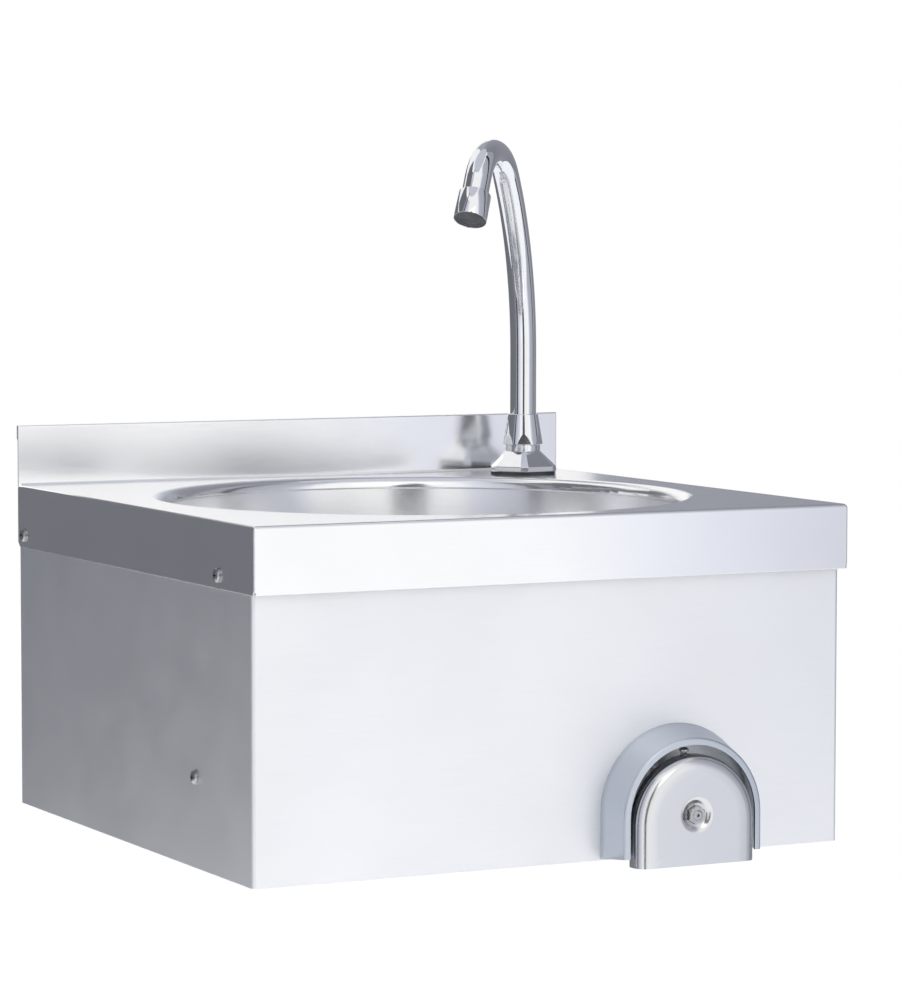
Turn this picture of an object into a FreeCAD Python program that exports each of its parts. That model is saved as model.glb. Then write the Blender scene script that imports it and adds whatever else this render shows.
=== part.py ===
"""Wall-hung stainless steel hand wash sink with a knee-operated tap.

Frame: millimetres, +Z up, the wall is the plane y = 0, the front faces -Y and X runs to the right.
The origin is the middle of the four wall screws.
"""
import FreeCAD
import Part
import Sketcher
import math
import os

# Driving dimensions in millimetres and degrees. A *_lift is measured up from the casing's lower edge.
SIZES = {
    # pressed and folded sheet
    "width": 400,
    "depth": 380,
    "deck_height": 125,
    "apron_height": 40,
    "splash_height": 39,
    "body_height": 210,
    "gauge": 1.0,
    "bend": 2.5,
    "apron_corner": 3,
    "seam_radius": 1.0,
    "seam_relief": 1.2,
    "seam_relief_height": 2,
    "side_inset": 2,
    "front_inset": 7,
    "hem_height": 9,
    "hem_gap": 0.4,
    "flange_width": 30,
    "bottom_return": 12,
    "wall_inset": 20,
    "wall_rise": 110,
    "wall_hole": 4,
    # bowl
    "rim_back": 28,
    "rim_front": 22,
    "rim_roll": 7,
    "lip_height": 1,
    "bowl_depth": 130,
    "bowl_draft": 9,
    "bowl_corner": 50,
    "floor_fall": 5,
    "sump_radius": 36,
    "sump_depth": 3,
    "drain_radius": 24,
    # sheet fasteners
    "screw_radius": 2,
    "screw_clearance": 0.2,
    "screw_head": 4.3,
    "screw_head_height": 2.4,
    "screw_length": 8,
    "screw_nut": 7,
    "screw_nut_height": 3.2,
    "apron_screw_drop": 32,
    "apron_screw_back": 12.5,
    "apron_screw_front": 51,
    # cross brace
    "brace_gauge": 1.5,
    "brace_lift": 67,
    "brace_height": 25,
    "brace_width": 26,
    "brace_reach": 70,
    "tab_width": 40,
    "tab_edge": 18,
    # knee collar and pad
    "knee_inset": 119.5,
    "collar_lift": 26,
    "collar_radius": 47.8,
    "collar_flare": 3.8,
    "collar_depth": 22.4,
    "collar_gauge": 1.5,
    "collar_lip": 4.1,
    "collar_edge": 1.2,
    "collar_back_lift": 1,
    "collar_front_lift": 3,
    "pad_lift": 24,
    "pad_radius": 40.2,
    "pad_overhang": 2.4,
    "pad_reach": 29,
    "pad_skirt": 12,
    "pad_edge": 8,
    "dimple_radius": 9,
    "dimple_floor": 6.5,
    "dimple_depth": 2,
    "pad_travel": 8,
    # push valve, measured along its axis from the front face of the casing
    "valve_lift": 28,
    "rod_radius": 4,
    "rod_fit": 0.05,
    "nose_radius": 10.9,
    "nose_length": 10,
    "nose_nut": 27,
    "nose_nut_height": 5,
    "valve_gasket_height": 1.5,
    "valve_flange_radius": 17,
    "valve_flange_height": 4,
    "barrel_radius": 14,
    "barrel_end": 60,
    "front_chamber_radius": 8,
    "front_chamber_start": 12,
    "seat_front": 28,
    "seat_radius": 5.5,
    "seat_height": 3,
    "seat_gap": 0.1,
    "rear_chamber_radius": 11.5,
    "gland_start": 7,
    "outlet_place": 20,
    "outlet_radius": 8.3,
    "outlet_bore": 4.5,
    "outlet_reach": 28,
    "socket_depth": 8,
    "connector_inside": 11.5,
    "connector_hex": 30,
    "clamp_radius": 12,
    "inlet_radius": 10.48,
    "inlet_bore": 6,
    "inlet_length": 23,
    "lock_nut": 30,
    "lock_nut_height": 5,
    "washer_height": 2.5,
    "poppet_radius": 7.5,
    "poppet_height": 6,
    "rod_tail_radius": 2.5,
    "stud_radius": 3,
    "pad_nut": 10,
    "pad_nut_height": 3.2,
    "stud_proud": 0.5,
    "ring_wire": 1.0,
    "spring_wire": 1.0,
    "spring_radius": 6.5,
    "spring_turns": 4,
    # pad guide
    "guide_gauge": 1.5,
    "guide_width": 14,
    "guide_bend": 6,
    "guide_lift": 61.2,
    "guide_reach": 17.5,
    "guide_screw_place": 13,
    "guide_screw_head": 3.1,
    "guide_screw_proud": 6,
    "guide_screw_length": 12,
    "guide_arm_width": 34,
    "guide_arm_reach": 15.5,
    "seat_clearance": 0.3,
    # supply pipe
    "pipe_radius": 5,
    "pipe_wall": 1,
    "pipe_bend": 35,
    "pipe_clearance": 0.1,
    "pipe_nut": 22,
    "pipe_nut_height": 15,
    # tap
    "tap_inset": 46.5,
    "tap_back": 40.5,
    "tap_gasket_height": 2,
    "tap_base_radius": 22.15,
    "tap_band": 3.3,
    "tap_slope": 10,
    "tap_top_radius": 11.4,
    "tap_turn": 18.1,
    "neck_radius": 10.5,
    "neck_ring": 4.6,
    "neck_thread": 9.9,
    "neck_length": 16,
    "neck_socket": 7.55,
    "tap_bore": 5,
    "shank_radius": 10.48,
    "shank_length": 48,
    "shank_hole": 11,
    "tap_washer_radius": 18,
    "back_nut": 30,
    "back_nut_height": 8,
    "spout_nut_height": 21,
    "spout_nut_base": 13.6,
    "spout_nut_top": 10.25,
    "spout_nut_flats": 25.2,
    "thread_fit": 0.05,
    "tail_fit": 0.05,
    "tail_collar": 9.6,
    "tail_collar_height": 2,
    "tail_spigot": 8,
    "tail_ring_wire": 0.9,
    # spout
    "tube_radius": 9,
    "tube_wall": 1,
    "spout_rise": 83,
    "first_bend": 202,
    "first_turn": 36.6,
    "second_bend": 36.2,
    "second_turn": 112.7,
    "spout_end": 15,
    "spout_heading": 224.5,
    "aerator_radius": 11,
    "aerator_length": 24,
    "aerator_grip": 7.7,
    "aerator_mesh": 8,
    "aerator_recess": 2,
    "aerator_hole": 0.8,
    # waste
    "grid_radius": 34,
    "grid_height": 1.5,
    "grid_hole": 2.6,
    "waste_seal_height": 2.5,
    "waste_flange": 35,
    "waste_flange_height": 3.5,
    "waste_cup_depth": 16,
    "waste_radius": 23.9,
    "waste_wall": 2.2,
    "waste_tail": 45,
    "bridge_width": 12,
    "bridge_height": 9,
    "waste_screw": 3,
    "waste_screw_head": 6,
    "waste_screw_crown": 5.4,
    "waste_screw_slot": 1.5,
}

TURNED_BACK = ((1, 0, 0), -90)     # a local Z axis that points to the wall
TURNED_RIGHT = ((0, 1, 0), 90)     # a local Z axis that points to the right
TURNED_LEFT = ((0, 1, 0), -90)
UPRIGHT = ((0, 0, 1), 0)
BEYOND = 1.0                       # how far a cut runs past the face it opens
NEAR = 0.01                        # how close an edge lies to the place it is looked for
NUT_SIDES = 6
BASE_SIDES = 8
CHAMFER_ANGLE = 30                 # slope of a nut's chamfered corners
SCREW_TIP_SHARE = 0.75             # share of a screw's radius that is left at its tip
HEAD_SHARES = ((1, 0), (1, 0.45), (0.82, 0.8), (0.5, 1))     # a pan head's radius and height
RECESS_ARM_SHARE = 0.5             # half the length of a cross recess, as a share of the head's radius
RECESS_SLOT_SHARE = 0.1            # half the width of its arms
RECESS_DEPTH_SHARE = 0.55          # its depth, as a share of the head's height
AERATOR_HOLES = 8
GRID_ROWS = ((0.3, 6), (0.52, 12))   # where each ring of strainer holes lies, and how many it has

doc = FreeCAD.newDocument("HandWashSink")
sheet = doc.addObject("Spreadsheet::Sheet", "Sizes")
parts = []


class Size:
    """A length that keeps its number together with the sheet formula it comes from."""

    def __init__(self, number, formula=None):
        self.number = float(number)
        self.formula = formula or repr(self.number)

    def _joined(self, other, sign, number):
        return Size(number, "(" + self.formula + sign + other.formula + ")")

    def __add__(self, other):
        other = as_size(other)
        return self._joined(other, " + ", self.number + other.number)

    def __radd__(self, other):
        return as_size(other) + self

    def __sub__(self, other):
        other = as_size(other)
        return self._joined(other, " - ", self.number - other.number)

    def __rsub__(self, other):
        return as_size(other) - self

    def __mul__(self, other):
        other = as_size(other)
        return self._joined(other, " * ", self.number * other.number)

    def __rmul__(self, other):
        return as_size(other) * self

    def __truediv__(self, other):
        other = as_size(other)
        return self._joined(other, " / ", self.number / other.number)

    def __neg__(self):
        return Size(0) - self


def as_size(value):
    """Turns a plain number into a size."""
    return value if isinstance(value, Size) else Size(value)


def get(name):
    """The size that the sheet holds under a name."""
    return Size(sheet.get(name), "Sizes." + name)


def cosine(angle):
    """The cosine of an angle in degrees."""
    return Size(math.cos(math.radians(angle.number)), "cos(" + angle.formula + ")")


def sine(angle):
    """The sine of an angle in degrees."""
    return Size(math.sin(math.radians(angle.number)), "sin(" + angle.formula + ")")


def fill_sheet():
    """Writes each driving dimension into its cell and names the cell."""
    for row, (name, number) in enumerate(SIZES.items(), start=1):
        cell = "B%d" % row
        sheet.set("A%d" % row, name)
        sheet.set(cell, str(number))
        sheet.setAlias(cell, name)
    doc.recompute()


def bind(thing, prop, size):
    """Ties one property to its sheet formula."""
    thing.setExpression(prop, as_size(size).formula)


def place(thing, x, y, z, turn=UPRIGHT):
    """Puts a sub-part at a point, turned about one axis."""
    axis, angle = turn
    spot = [as_size(value) for value in (x, y, z)]
    base = FreeCAD.Vector(*[value.number for value in spot])
    thing.Placement = FreeCAD.Placement(base, FreeCAD.Rotation(FreeCAD.Vector(*axis), angle))
    for letter, value in zip("xyz", spot):
        bind(thing, "Placement.Base." + letter, value)


def keep(thing, label):
    """Counts an object as a finished sub-part under its label."""
    thing.Label = label
    parts.append(thing)
    return thing


def new_body(name):
    """Starts a body that may hold more than one solid."""
    body = doc.addObject("PartDesign::Body", name)
    body.AllowCompound = True
    return body


def sketch_on(body, role, offset=0, name="Sketch"):
    """Starts a sketch on one of the body's own origin planes, moved along the plane's normal."""
    sketch = body.newObject("Sketcher::SketchObject", name)
    plane = [item for item in body.Origin.OriginFeatures if item.Role == role][0]
    sketch.AttachmentSupport = [(plane, "")]
    sketch.MapMode = "FlatFace"
    if as_size(offset).number:
        bind(sketch, "AttachmentOffset.Base.z", offset)
    return sketch


def pin(sketch, geometry, point, x, y):
    """Holds one point of a sketch at its sizes."""
    for kind, axis, value in (("DistanceX", -2, as_size(x)), ("DistanceY", -1, as_size(y))):
        if abs(value.number) < NEAR:
            sketch.addConstraint(Sketcher.Constraint("PointOnObject", geometry, point, axis))
        else:
            index = sketch.addConstraint(Sketcher.Constraint(kind, geometry, point, value.number))
            bind(sketch, "Constraints[%d]" % index, value)


def outline(sketch, points):
    """Draws a closed outline of straight lines through corners held at their sizes."""
    corners = [(as_size(x), as_size(y)) for x, y in points]
    first = sketch.GeometryCount
    count = len(corners)
    spots = [FreeCAD.Vector(x.number, y.number, 0) for x, y in corners]
    for index in range(count):
        sketch.addGeometry(Part.LineSegment(spots[index], spots[(index + 1) % count]))
    for index in range(count):
        after = first + (index + 1) % count
        sketch.addConstraint(Sketcher.Constraint("Coincident", first + index, 2, after, 1))
    for index, (x, y) in enumerate(corners):
        pin(sketch, first + index, 1, x, y)


def rectangle(sketch, left, bottom, right, top):
    """Draws an upright rectangle."""
    outline(sketch, [(left, bottom), (right, bottom), (right, top), (left, top)])


def circle(sketch, x, y, radius):
    """Draws a circle."""
    centre = FreeCAD.Vector(as_size(x).number, as_size(y).number, 0)
    radius = as_size(radius)
    index = sketch.addGeometry(Part.Circle(centre, FreeCAD.Vector(0, 0, 1), radius.number))
    pin(sketch, index, 3, x, y)
    row = sketch.addConstraint(Sketcher.Constraint("Radius", index, radius.number))
    bind(sketch, "Constraints[%d]" % row, radius)


def polygon(sketch, sides, across_flats, turn=0):
    """Draws a regular polygon about the sketch origin by its width across flats."""
    corner = across_flats / 2 / math.cos(math.pi / sides)
    points = []
    for index in range(sides):
        angle = math.radians(turn) + math.pi * (2 * index + 1) / sides
        points.append((corner * math.cos(angle), corner * math.sin(angle)))
    outline(sketch, points)


def arch(sketch, x, y, radius, bottom):
    """Draws an arch: a half circle on two upright legs, closed along the bottom."""
    x, y, radius, bottom = [as_size(value) for value in (x, y, radius, bottom)]
    left = x.number - radius.number
    right = x.number + radius.number
    low = bottom.number
    vector = FreeCAD.Vector
    ring = Part.Circle(vector(x.number, y.number, 0), vector(0, 0, 1), radius.number)
    top = sketch.addGeometry(Part.ArcOfCircle(ring, 0, math.pi))
    far = sketch.addGeometry(Part.LineSegment(vector(left, y.number, 0), vector(left, low, 0)))
    base = sketch.addGeometry(Part.LineSegment(vector(left, low, 0), vector(right, low, 0)))
    near = sketch.addGeometry(Part.LineSegment(vector(right, low, 0), vector(right, y.number, 0)))
    for first, second in ((top, far), (far, base), (base, near), (near, top)):
        sketch.addConstraint(Sketcher.Constraint("Coincident", first, 2, second, 1))
    sketch.addConstraint(Sketcher.Constraint("Horizontal", top, 1, top, 3))
    sketch.addConstraint(Sketcher.Constraint("Horizontal", top, 2, top, 3))
    sketch.addConstraint(Sketcher.Constraint("Vertical", far))
    sketch.addConstraint(Sketcher.Constraint("Vertical", near))
    sketch.addConstraint(Sketcher.Constraint("Horizontal", base))
    pin(sketch, top, 3, x, y)
    row = sketch.addConstraint(Sketcher.Constraint("Radius", top, radius.number))
    bind(sketch, "Constraints[%d]" % row, radius)
    row = sketch.addConstraint(Sketcher.Constraint("DistanceY", base, 1, low))
    bind(sketch, "Constraints[%d]" % row, bottom)


def pad(body, sketch, length, reversed_way=False):
    """Adds the sketch's area as a solid of the given length."""
    feature = body.newObject("PartDesign::Pad", "Pad")
    feature.Profile = sketch
    feature.Reversed = reversed_way
    bind(feature, "Length", length)
    return feature


def pocket(body, sketch, length=None, midplane=False, reversed_way=False):
    """Cuts the sketch's area to a depth, or through everything without one."""
    feature = body.newObject("PartDesign::Pocket", "Pocket")
    feature.Profile = sketch
    feature.Midplane = midplane
    feature.Reversed = reversed_way
    if length is None:
        feature.Type = "ThroughAll"
    else:
        bind(feature, "Length", length)
    return feature


def revolve(body, points, cut=False):
    """Turns an outline of (radius, height) points about the body's Z axis."""
    sketch = sketch_on(body, "XZ_Plane")
    outline(sketch, points)
    kind = "PartDesign::Groove" if cut else "PartDesign::Revolution"
    feature = body.newObject(kind, "Turned")
    feature.Profile = sketch
    feature.ReferenceAxis = (sketch, ["V_Axis"])
    feature.Angle = 360
    return feature


def drill(body, radius, low, high):
    """Cuts a round hole along the body's Z axis between two heights."""
    return revolve(body, [(0, low), (radius, low), (radius, high), (0, high)], cut=True)


def round_off(body, radius, wanted, kind="PartDesign::Fillet"):
    """Rounds or chamfers the edges of the last feature that a test picks out."""
    doc.recompute()
    base = body.Tip
    names = ["Edge%d" % (i + 1) for i, edge in enumerate(base.Shape.Edges) if wanted(edge)]
    if not names:
        raise ValueError("no edge to round on " + body.Name)
    feature = body.newObject(kind, "Rounded")
    feature.Base = (base, names)
    bind(feature, "Radius" if kind == "PartDesign::Fillet" else "Size", radius)
    return feature


def lies(edge, x=None, y=None, z=None):
    """Tells whether a whole edge lies at the given coordinates."""
    ends = [vertex.Point for vertex in edge.Vertexes]
    spots = ends + [edge.valueAt((edge.FirstParameter + edge.LastParameter) / 2)]
    for spot in spots:
        for value, wanted in ((spot.x, x), (spot.y, y), (spot.z, z)):
            if wanted is not None and abs(value - wanted.number) > NEAR:
                return False
    return True


def is_ring(edge, radius, z):
    """Tells whether an edge is a circle about the Z direction with a radius and a height."""
    if edge.Degenerated or not edge.isClosed() or not isinstance(edge.Curve, Part.Circle):
        return False
    curve = edge.Curve
    return abs(curve.Radius - radius.number) < NEAR and abs(curve.Center.z - z.number) < NEAR


def group(name, bodies):
    """Joins like fasteners, each a solid of its own, in one sub-part."""
    compound = doc.addObject("Part::Compound", name)
    compound.Links = bodies
    return keep(compound, name)


def hex_nut(name, across_flats, height, bore, low=0):
    """A chamfered hexagon nut standing on a local height."""
    body = new_body(name)
    low = as_size(low)
    top = low + height
    sketch = sketch_on(body, "XY_Plane", low)
    polygon(sketch, NUT_SIDES, across_flats)
    pad(body, sketch, height)
    drill(body, bore, low - BEYOND, top + BEYOND)
    flat = across_flats / 2
    outside = flat / math.cos(math.pi / NUT_SIDES) + BEYOND
    slope = (outside - flat) * math.tan(math.radians(CHAMFER_ANGLE))
    for face, inward in ((top, -1), (low, 1)):
        corner = [(flat, face), (outside, face), (outside, face + slope * inward)]
        revolve(body, corner, cut=True)
    return body


def pan_screw(name, head_radius, head_height, shank_radius, length):
    """A cross-recessed pan screw with its head above local zero and its shank below."""
    body = new_body(name)
    head = [(head_radius * wide, head_height * high) for wide, high in HEAD_SHARES]
    revolve(body, [
        (0, -length), (shank_radius * SCREW_TIP_SHARE, -length),
        (shank_radius, -length + shank_radius / 2), (shank_radius, 0),
    ] + head + [(0, head_height)])
    arm = head_radius * RECESS_ARM_SHARE
    slot = head_radius * RECESS_SLOT_SHARE
    sketch = sketch_on(body, "XY_Plane", head_height)
    outline(sketch, [
        (arm, -slot), (arm, slot), (slot, slot), (slot, arm), (-slot, arm), (-slot, slot),
        (-arm, slot), (-arm, -slot), (-slot, -slot), (-slot, -arm), (slot, -arm), (slot, -slot),
    ])
    pocket(body, sketch, head_height * RECESS_DEPTH_SHARE)
    return body


# ---------------------------------------------------------------- folded sheet

def deck_top():
    """Height of the deck's upper face."""
    return get("deck_height")


def knee_x():
    """The X coordinate of the knee pad and its valve."""
    return get("width") / 2 - get("knee_inset")


def tap_x():
    """The X coordinate of the tap's axis."""
    return get("width") / 2 - get("tap_inset")


def wall_hole_x():
    """How far the wall screws lie from the middle."""
    return get("width") / 2 - get("wall_inset")


def casing_low():
    """Height of the casing's lower edge."""
    return deck_top() - get("body_height")


def mouth_radius():
    """Radius of the bowl's mouth, which fills the deck but for its front and back margins."""
    return (get("depth") - get("rim_front") - get("rim_back")) / 2


def bowl_centre():
    """The Y coordinate of the bowl's axis."""
    return -(get("rim_back") + mouth_radius())


def panel_face():
    """The Y coordinate of the casing's front face."""
    return get("front_inset") - get("depth")


def screw_spots():
    """Y coordinates of the two screws in each side apron."""
    return (-get("apron_screw_back"), get("apron_screw_front") - get("depth"))


def make_top_deck():
    """Deck, side and front aprons, splash-back with its hem, drawn bowl mouth and tap hole."""
    body = new_body("top_deck")
    gauge, bend, top = get("gauge"), get("bend"), deck_top()
    half, depth = get("width") / 2, get("depth")
    low = top - get("apron_height")
    hem_back = Size(0)
    splash_front = -(gauge * 2 + get("hem_gap"))
    splash_back = splash_front + gauge
    splash_top = top + get("splash_height")
    mouth, roll = mouth_radius(), get("rim_roll")
    lip = top - roll - get("lip_height")

    sketch = sketch_on(body, "XY_Plane", low)
    rectangle(sketch, -half, -depth, half, splash_back)
    pad(body, sketch, get("apron_height"))
    round_off(body, get("seam_radius"), lambda edge: lies(edge, x=half, y=-depth)
              or lies(edge, x=-half, y=-depth))
    round_off(body, bend, lambda edge: lies(edge, z=top) and not lies(edge, y=splash_back))
    sketch = sketch_on(body, "XY_Plane", low)
    rectangle(sketch, -half + gauge, -depth + gauge, half - gauge, splash_back + BEYOND)
    pocket(body, sketch, get("apron_height") - gauge, reversed_way=True)
    underside = top - gauge
    round_off(body, bend - gauge, lambda edge: lies(edge, z=underside)
              and (lies(edge, y=gauge - depth) or lies(edge, x=half - gauge)
                   or lies(edge, x=gauge - half)))

    sketch = sketch_on(body, "YZ_Plane", -half)
    hem_low = splash_top - get("hem_height")
    outline(sketch, [
        (splash_front, underside), (splash_back, underside), (splash_back, splash_top - gauge),
        (hem_back - gauge, splash_top - gauge), (hem_back - gauge, hem_low), (hem_back, hem_low),
        (hem_back, splash_top), (splash_front, splash_top),
    ])
    pad(body, sketch, half * 2)
    round_off(body, gauge, lambda edge: lies(edge, z=splash_top) and not lies(edge, x=half)
              and not lies(edge, x=-half))
    sketch = sketch_on(body, "YZ_Plane", bend - half)
    outline(sketch, [(splash_front - bend / 2, top), (splash_front, top), (splash_front, top + bend / 2)])
    pad(body, sketch, (half - bend) * 2)

    sketch = sketch_on(body, "XY_Plane", lip)
    circle(sketch, 0, bowl_centre(), mouth + gauge)
    pad(body, sketch, underside - lip)
    round_off(body, roll - gauge, lambda edge: is_ring(edge, mouth + gauge, underside))
    sketch = sketch_on(body, "XY_Plane", lip)
    circle(sketch, 0, bowl_centre(), mouth)
    pocket(body, sketch, reversed_way=True)
    round_off(body, roll, lambda edge: is_ring(edge, mouth, top))

    sketch = sketch_on(body, "XY_Plane", underside)
    circle(sketch, tap_x(), -get("tap_back"), get("shank_hole"))
    pocket(body, sketch, reversed_way=True)
    sketch = sketch_on(body, "YZ_Plane")
    for spot in screw_spots():
        circle(sketch, spot, top - get("apron_screw_drop"), get("screw_radius") + get("screw_clearance"))
    pocket(body, sketch, half * 2 + BEYOND, midplane=True)
    round_off(body, get("apron_corner"), lambda edge: lies(edge, y=splash_back, z=low),
              kind="PartDesign::Chamfer")
    sketch = sketch_on(body, "XY_Plane", low)
    for side in (-half, half):
        circle(sketch, side, -depth, get("seam_relief"))
    pocket(body, sketch, get("seam_relief_height"), reversed_way=True)
    return keep(body, "top_deck")


def make_bowl():
    """Deep-drawn round bowl, welded to the deck's drawn mouth, with a sump for the waste."""
    body = new_body("bowl")
    gauge, mouth, draft = get("gauge"), mouth_radius(), get("bowl_draft")
    rim = -(get("rim_roll") + get("lip_height"))
    floor_edge = get("floor_fall") - get("bowl_depth")
    floor = -get("bowl_depth")
    sump, sump_radius = floor - get("sump_depth"), get("sump_radius")
    foot = mouth - draft
    corner = get("bowl_corner")
    revolve(body, [
        (0, rim), (mouth + gauge, rim), (foot + gauge, floor_edge - gauge),
        (sump_radius + gauge, floor - gauge), (sump_radius + gauge, sump - gauge), (0, sump - gauge),
    ])
    revolve(body, [
        (0, rim + BEYOND), (mouth, rim + BEYOND), (mouth, rim), (foot, floor_edge),
        (sump_radius, floor), (sump_radius, sump), (0, sump),
    ], cut=True)
    round_off(body, corner, lambda edge: is_ring(edge, foot, floor_edge))
    round_off(body, corner + gauge, lambda edge: is_ring(edge, foot + gauge, floor_edge - gauge))
    round_off(body, gauge, lambda edge: is_ring(edge, sump_radius, floor))
    drill(body, get("drain_radius"), sump - gauge - BEYOND, sump + BEYOND)
    place(body, 0, bowl_centre(), deck_top())
    return keep(body, "bowl")


def make_casing():
    """Folded casing: front panel, two sides, rear flanges and an inward return along the bottom."""
    body = new_body("casing")
    gauge, bend, face = get("gauge"), get("bend"), panel_face()
    half = get("width") / 2 - get("side_inset")
    high = deck_top() - gauge - get("seat_clearance")
    low = casing_low()
    inner, back = half - gauge, Size(0)
    edge_in = get("bottom_return")

    sketch = sketch_on(body, "XY_Plane", low)
    rectangle(sketch, -half, face, half, back)
    pad(body, sketch, high - low)
    round_off(body, bend, lambda edge: lies(edge, x=half, y=face) or lies(edge, x=-half, y=face))
    sketch = sketch_on(body, "XY_Plane", low + gauge)
    rectangle(sketch, -inner, face + gauge, inner, back - gauge)
    pocket(body, sketch, reversed_way=True)
    round_off(body, bend - gauge, lambda edge: lies(edge, x=inner, y=face + gauge)
              or lies(edge, x=-inner, y=face + gauge))
    sketch = sketch_on(body, "XY_Plane", low)
    rectangle(sketch, edge_in - inner, face + gauge + edge_in, inner - edge_in, back - gauge)
    pocket(body, sketch, gauge + BEYOND, reversed_way=True)
    sketch = sketch_on(body, "XY_Plane", low)
    opening = half - get("flange_width")
    rectangle(sketch, -opening, back - gauge - BEYOND, opening, back + BEYOND)
    pocket(body, sketch, reversed_way=True)

    sketch = sketch_on(body, "XZ_Plane", -(face + gauge + BEYOND))
    circle(sketch, knee_x(), valve_height(), get("nose_radius") + get("screw_clearance"))
    pocket(body, sketch, gauge + BEYOND * 2, reversed_way=True)
    sketch = sketch_on(body, "XZ_Plane")
    for side in (-1, 1):
        for end in (-1, 1):
            circle(sketch, wall_hole_x() * side, get("wall_rise") / 2 * end, get("wall_hole"))
    pocket(body, sketch, gauge + BEYOND, reversed_way=True)
    pierce_sides(body, inner)
    return keep(body, "casing")


def pierce_sides(body, inner):
    """Drills both casing sides for the apron screws and the brace screws."""
    sketch = sketch_on(body, "YZ_Plane")
    hole = get("screw_radius") + get("screw_clearance")
    for spot in screw_spots():
        circle(sketch, spot, deck_top() - get("apron_screw_drop"), hole)
    circle(sketch, brace_middle(), brace_screw_height(), hole)
    pocket(body, sketch, (inner + get("side_inset") + get("gauge")) * 2, midplane=True)


def brace_front():
    """The Y coordinate of the brace's upright leg, where the valve's hexagon seats."""
    return panel_face() + get("brace_reach")


def brace_middle():
    """The Y coordinate of the brace's end screws."""
    return brace_front() + get("brace_width") / 2


def brace_top():
    """Height of the brace's upper face."""
    return casing_low() + get("brace_lift")


def brace_screw_height():
    """Height of the brace's end screws."""
    return brace_top() - get("brace_height") / 2


def make_cross_brace():
    """Angle across the casing with folded ends and a tab that carries the valve."""
    body = new_body("cross_brace")
    gauge, top, front = get("brace_gauge"), brace_top(), brace_front()
    half = get("width") / 2 - get("side_inset") - get("gauge")
    low = top - get("brace_height")
    back = front + get("brace_width")
    knee, tab = knee_x(), get("tab_width") / 2

    sketch = sketch_on(body, "YZ_Plane", -half)
    outline(sketch, [
        (front, low), (front + gauge, low), (front + gauge, top - gauge),
        (back, top - gauge), (back, top), (front, top),
    ])
    pad(body, sketch, half * 2)
    for start in (-half, half - gauge):
        sketch = sketch_on(body, "YZ_Plane", start)
        rectangle(sketch, front, low, back, top)
        pad(body, sketch, gauge)
    round_off(body, gauge, lambda edge: lies(edge, y=front, z=top))
    tab_low = valve_height() - get("tab_edge")
    sketch = sketch_on(body, "XZ_Plane", -(front + gauge))
    rectangle(sketch, knee - tab, tab_low, knee + tab, low)
    pad(body, sketch, gauge)
    round_off(body, get("tab_edge") / 2, lambda edge: lies(edge, x=knee - tab, z=tab_low)
              or lies(edge, x=knee + tab, z=tab_low))
    sketch = sketch_on(body, "XZ_Plane", -(front + gauge))
    circle(sketch, knee, valve_height(), get("clamp_radius") + get("screw_clearance"))
    pocket(body, sketch, gauge + BEYOND, reversed_way=True)
    sketch = sketch_on(body, "YZ_Plane")
    circle(sketch, brace_middle(), brace_screw_height(), get("screw_radius") + get("screw_clearance"))
    pocket(body, sketch, half * 2 + BEYOND, midplane=True)
    return keep(body, "cross_brace")


def make_side_fasteners(name, outer, inner, spots, height):
    """Screws driven in from both sides and their weld nuts inside the casing."""
    screws, nuts = [], []
    for side, turn in ((-1, TURNED_LEFT), (1, TURNED_RIGHT)):
        for index, spot in enumerate(spots):
            label = "%s_%s_%d" % (name, "left" if side < 0 else "right", index + 1)
            screw = pan_screw(label, get("screw_head"), get("screw_head_height"),
                              get("screw_radius"), get("screw_length"))
            place(screw, outer * side, spot, height, turn)
            screws.append(screw)
            nut = hex_nut(label + "_nut", get("screw_nut"), get("screw_nut_height"),
                          get("screw_radius") + get("screw_clearance") / 2, -get("screw_nut_height"))
            place(nut, inner * side, spot, height, turn)
            nuts.append(nut)
    group(name + "_screws", screws)
    group(name + "_nuts", nuts)


# ---------------------------------------------------------------- knee collar and pad

def make_knee_collar():
    """Flared arch welded round the knee pad, open below, with a lip folded in at the front."""
    body = new_body("knee_collar")
    wall, depth = get("collar_gauge"), get("collar_depth")
    front, flare = get("collar_radius"), get("collar_flare")
    centre = casing_low() + get("collar_lift")
    knee, panel = knee_x(), -panel_face()
    below = casing_low() - BEYOND

    def arches(inset, low_back, low_front, stop):
        """Two arches, at the panel and near the lip, for one loft."""
        made = []
        share = stop / depth
        for place_out, radius, low in (
            (Size(0), front + flare - inset, low_back),
            (stop, front + flare - flare * share - inset, low_front),
        ):
            sketch = sketch_on(body, "XZ_Plane", panel + place_out)
            arch(sketch, knee, centre, radius, low)
            made.append(sketch)
        return made

    outer = arches(Size(0), casing_low() + get("collar_back_lift"),
                   casing_low() + get("collar_front_lift"), depth)
    loft = body.newObject("PartDesign::AdditiveLoft", "Flare")
    loft.Profile = outer[0]
    loft.Sections = [outer[1]]
    loft.Ruled = True
    inner = arches(wall, below, below, depth - wall)
    hollow = body.newObject("PartDesign::SubtractiveLoft", "Hollow")
    hollow.Profile = inner[0]
    hollow.Sections = [inner[1]]
    hollow.Ruled = True
    sketch = sketch_on(body, "XZ_Plane", panel + depth - wall - BEYOND)
    arch(sketch, knee, centre, front - get("collar_lip"), below)
    pocket(body, sketch, reversed_way=True)
    face = -(panel + depth)
    rim = front.number
    round_off(body, get("collar_edge"), lambda edge: lies(edge, y=face)
              and collar_rim(edge, knee, centre, rim))
    return keep(body, "knee_collar")


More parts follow.
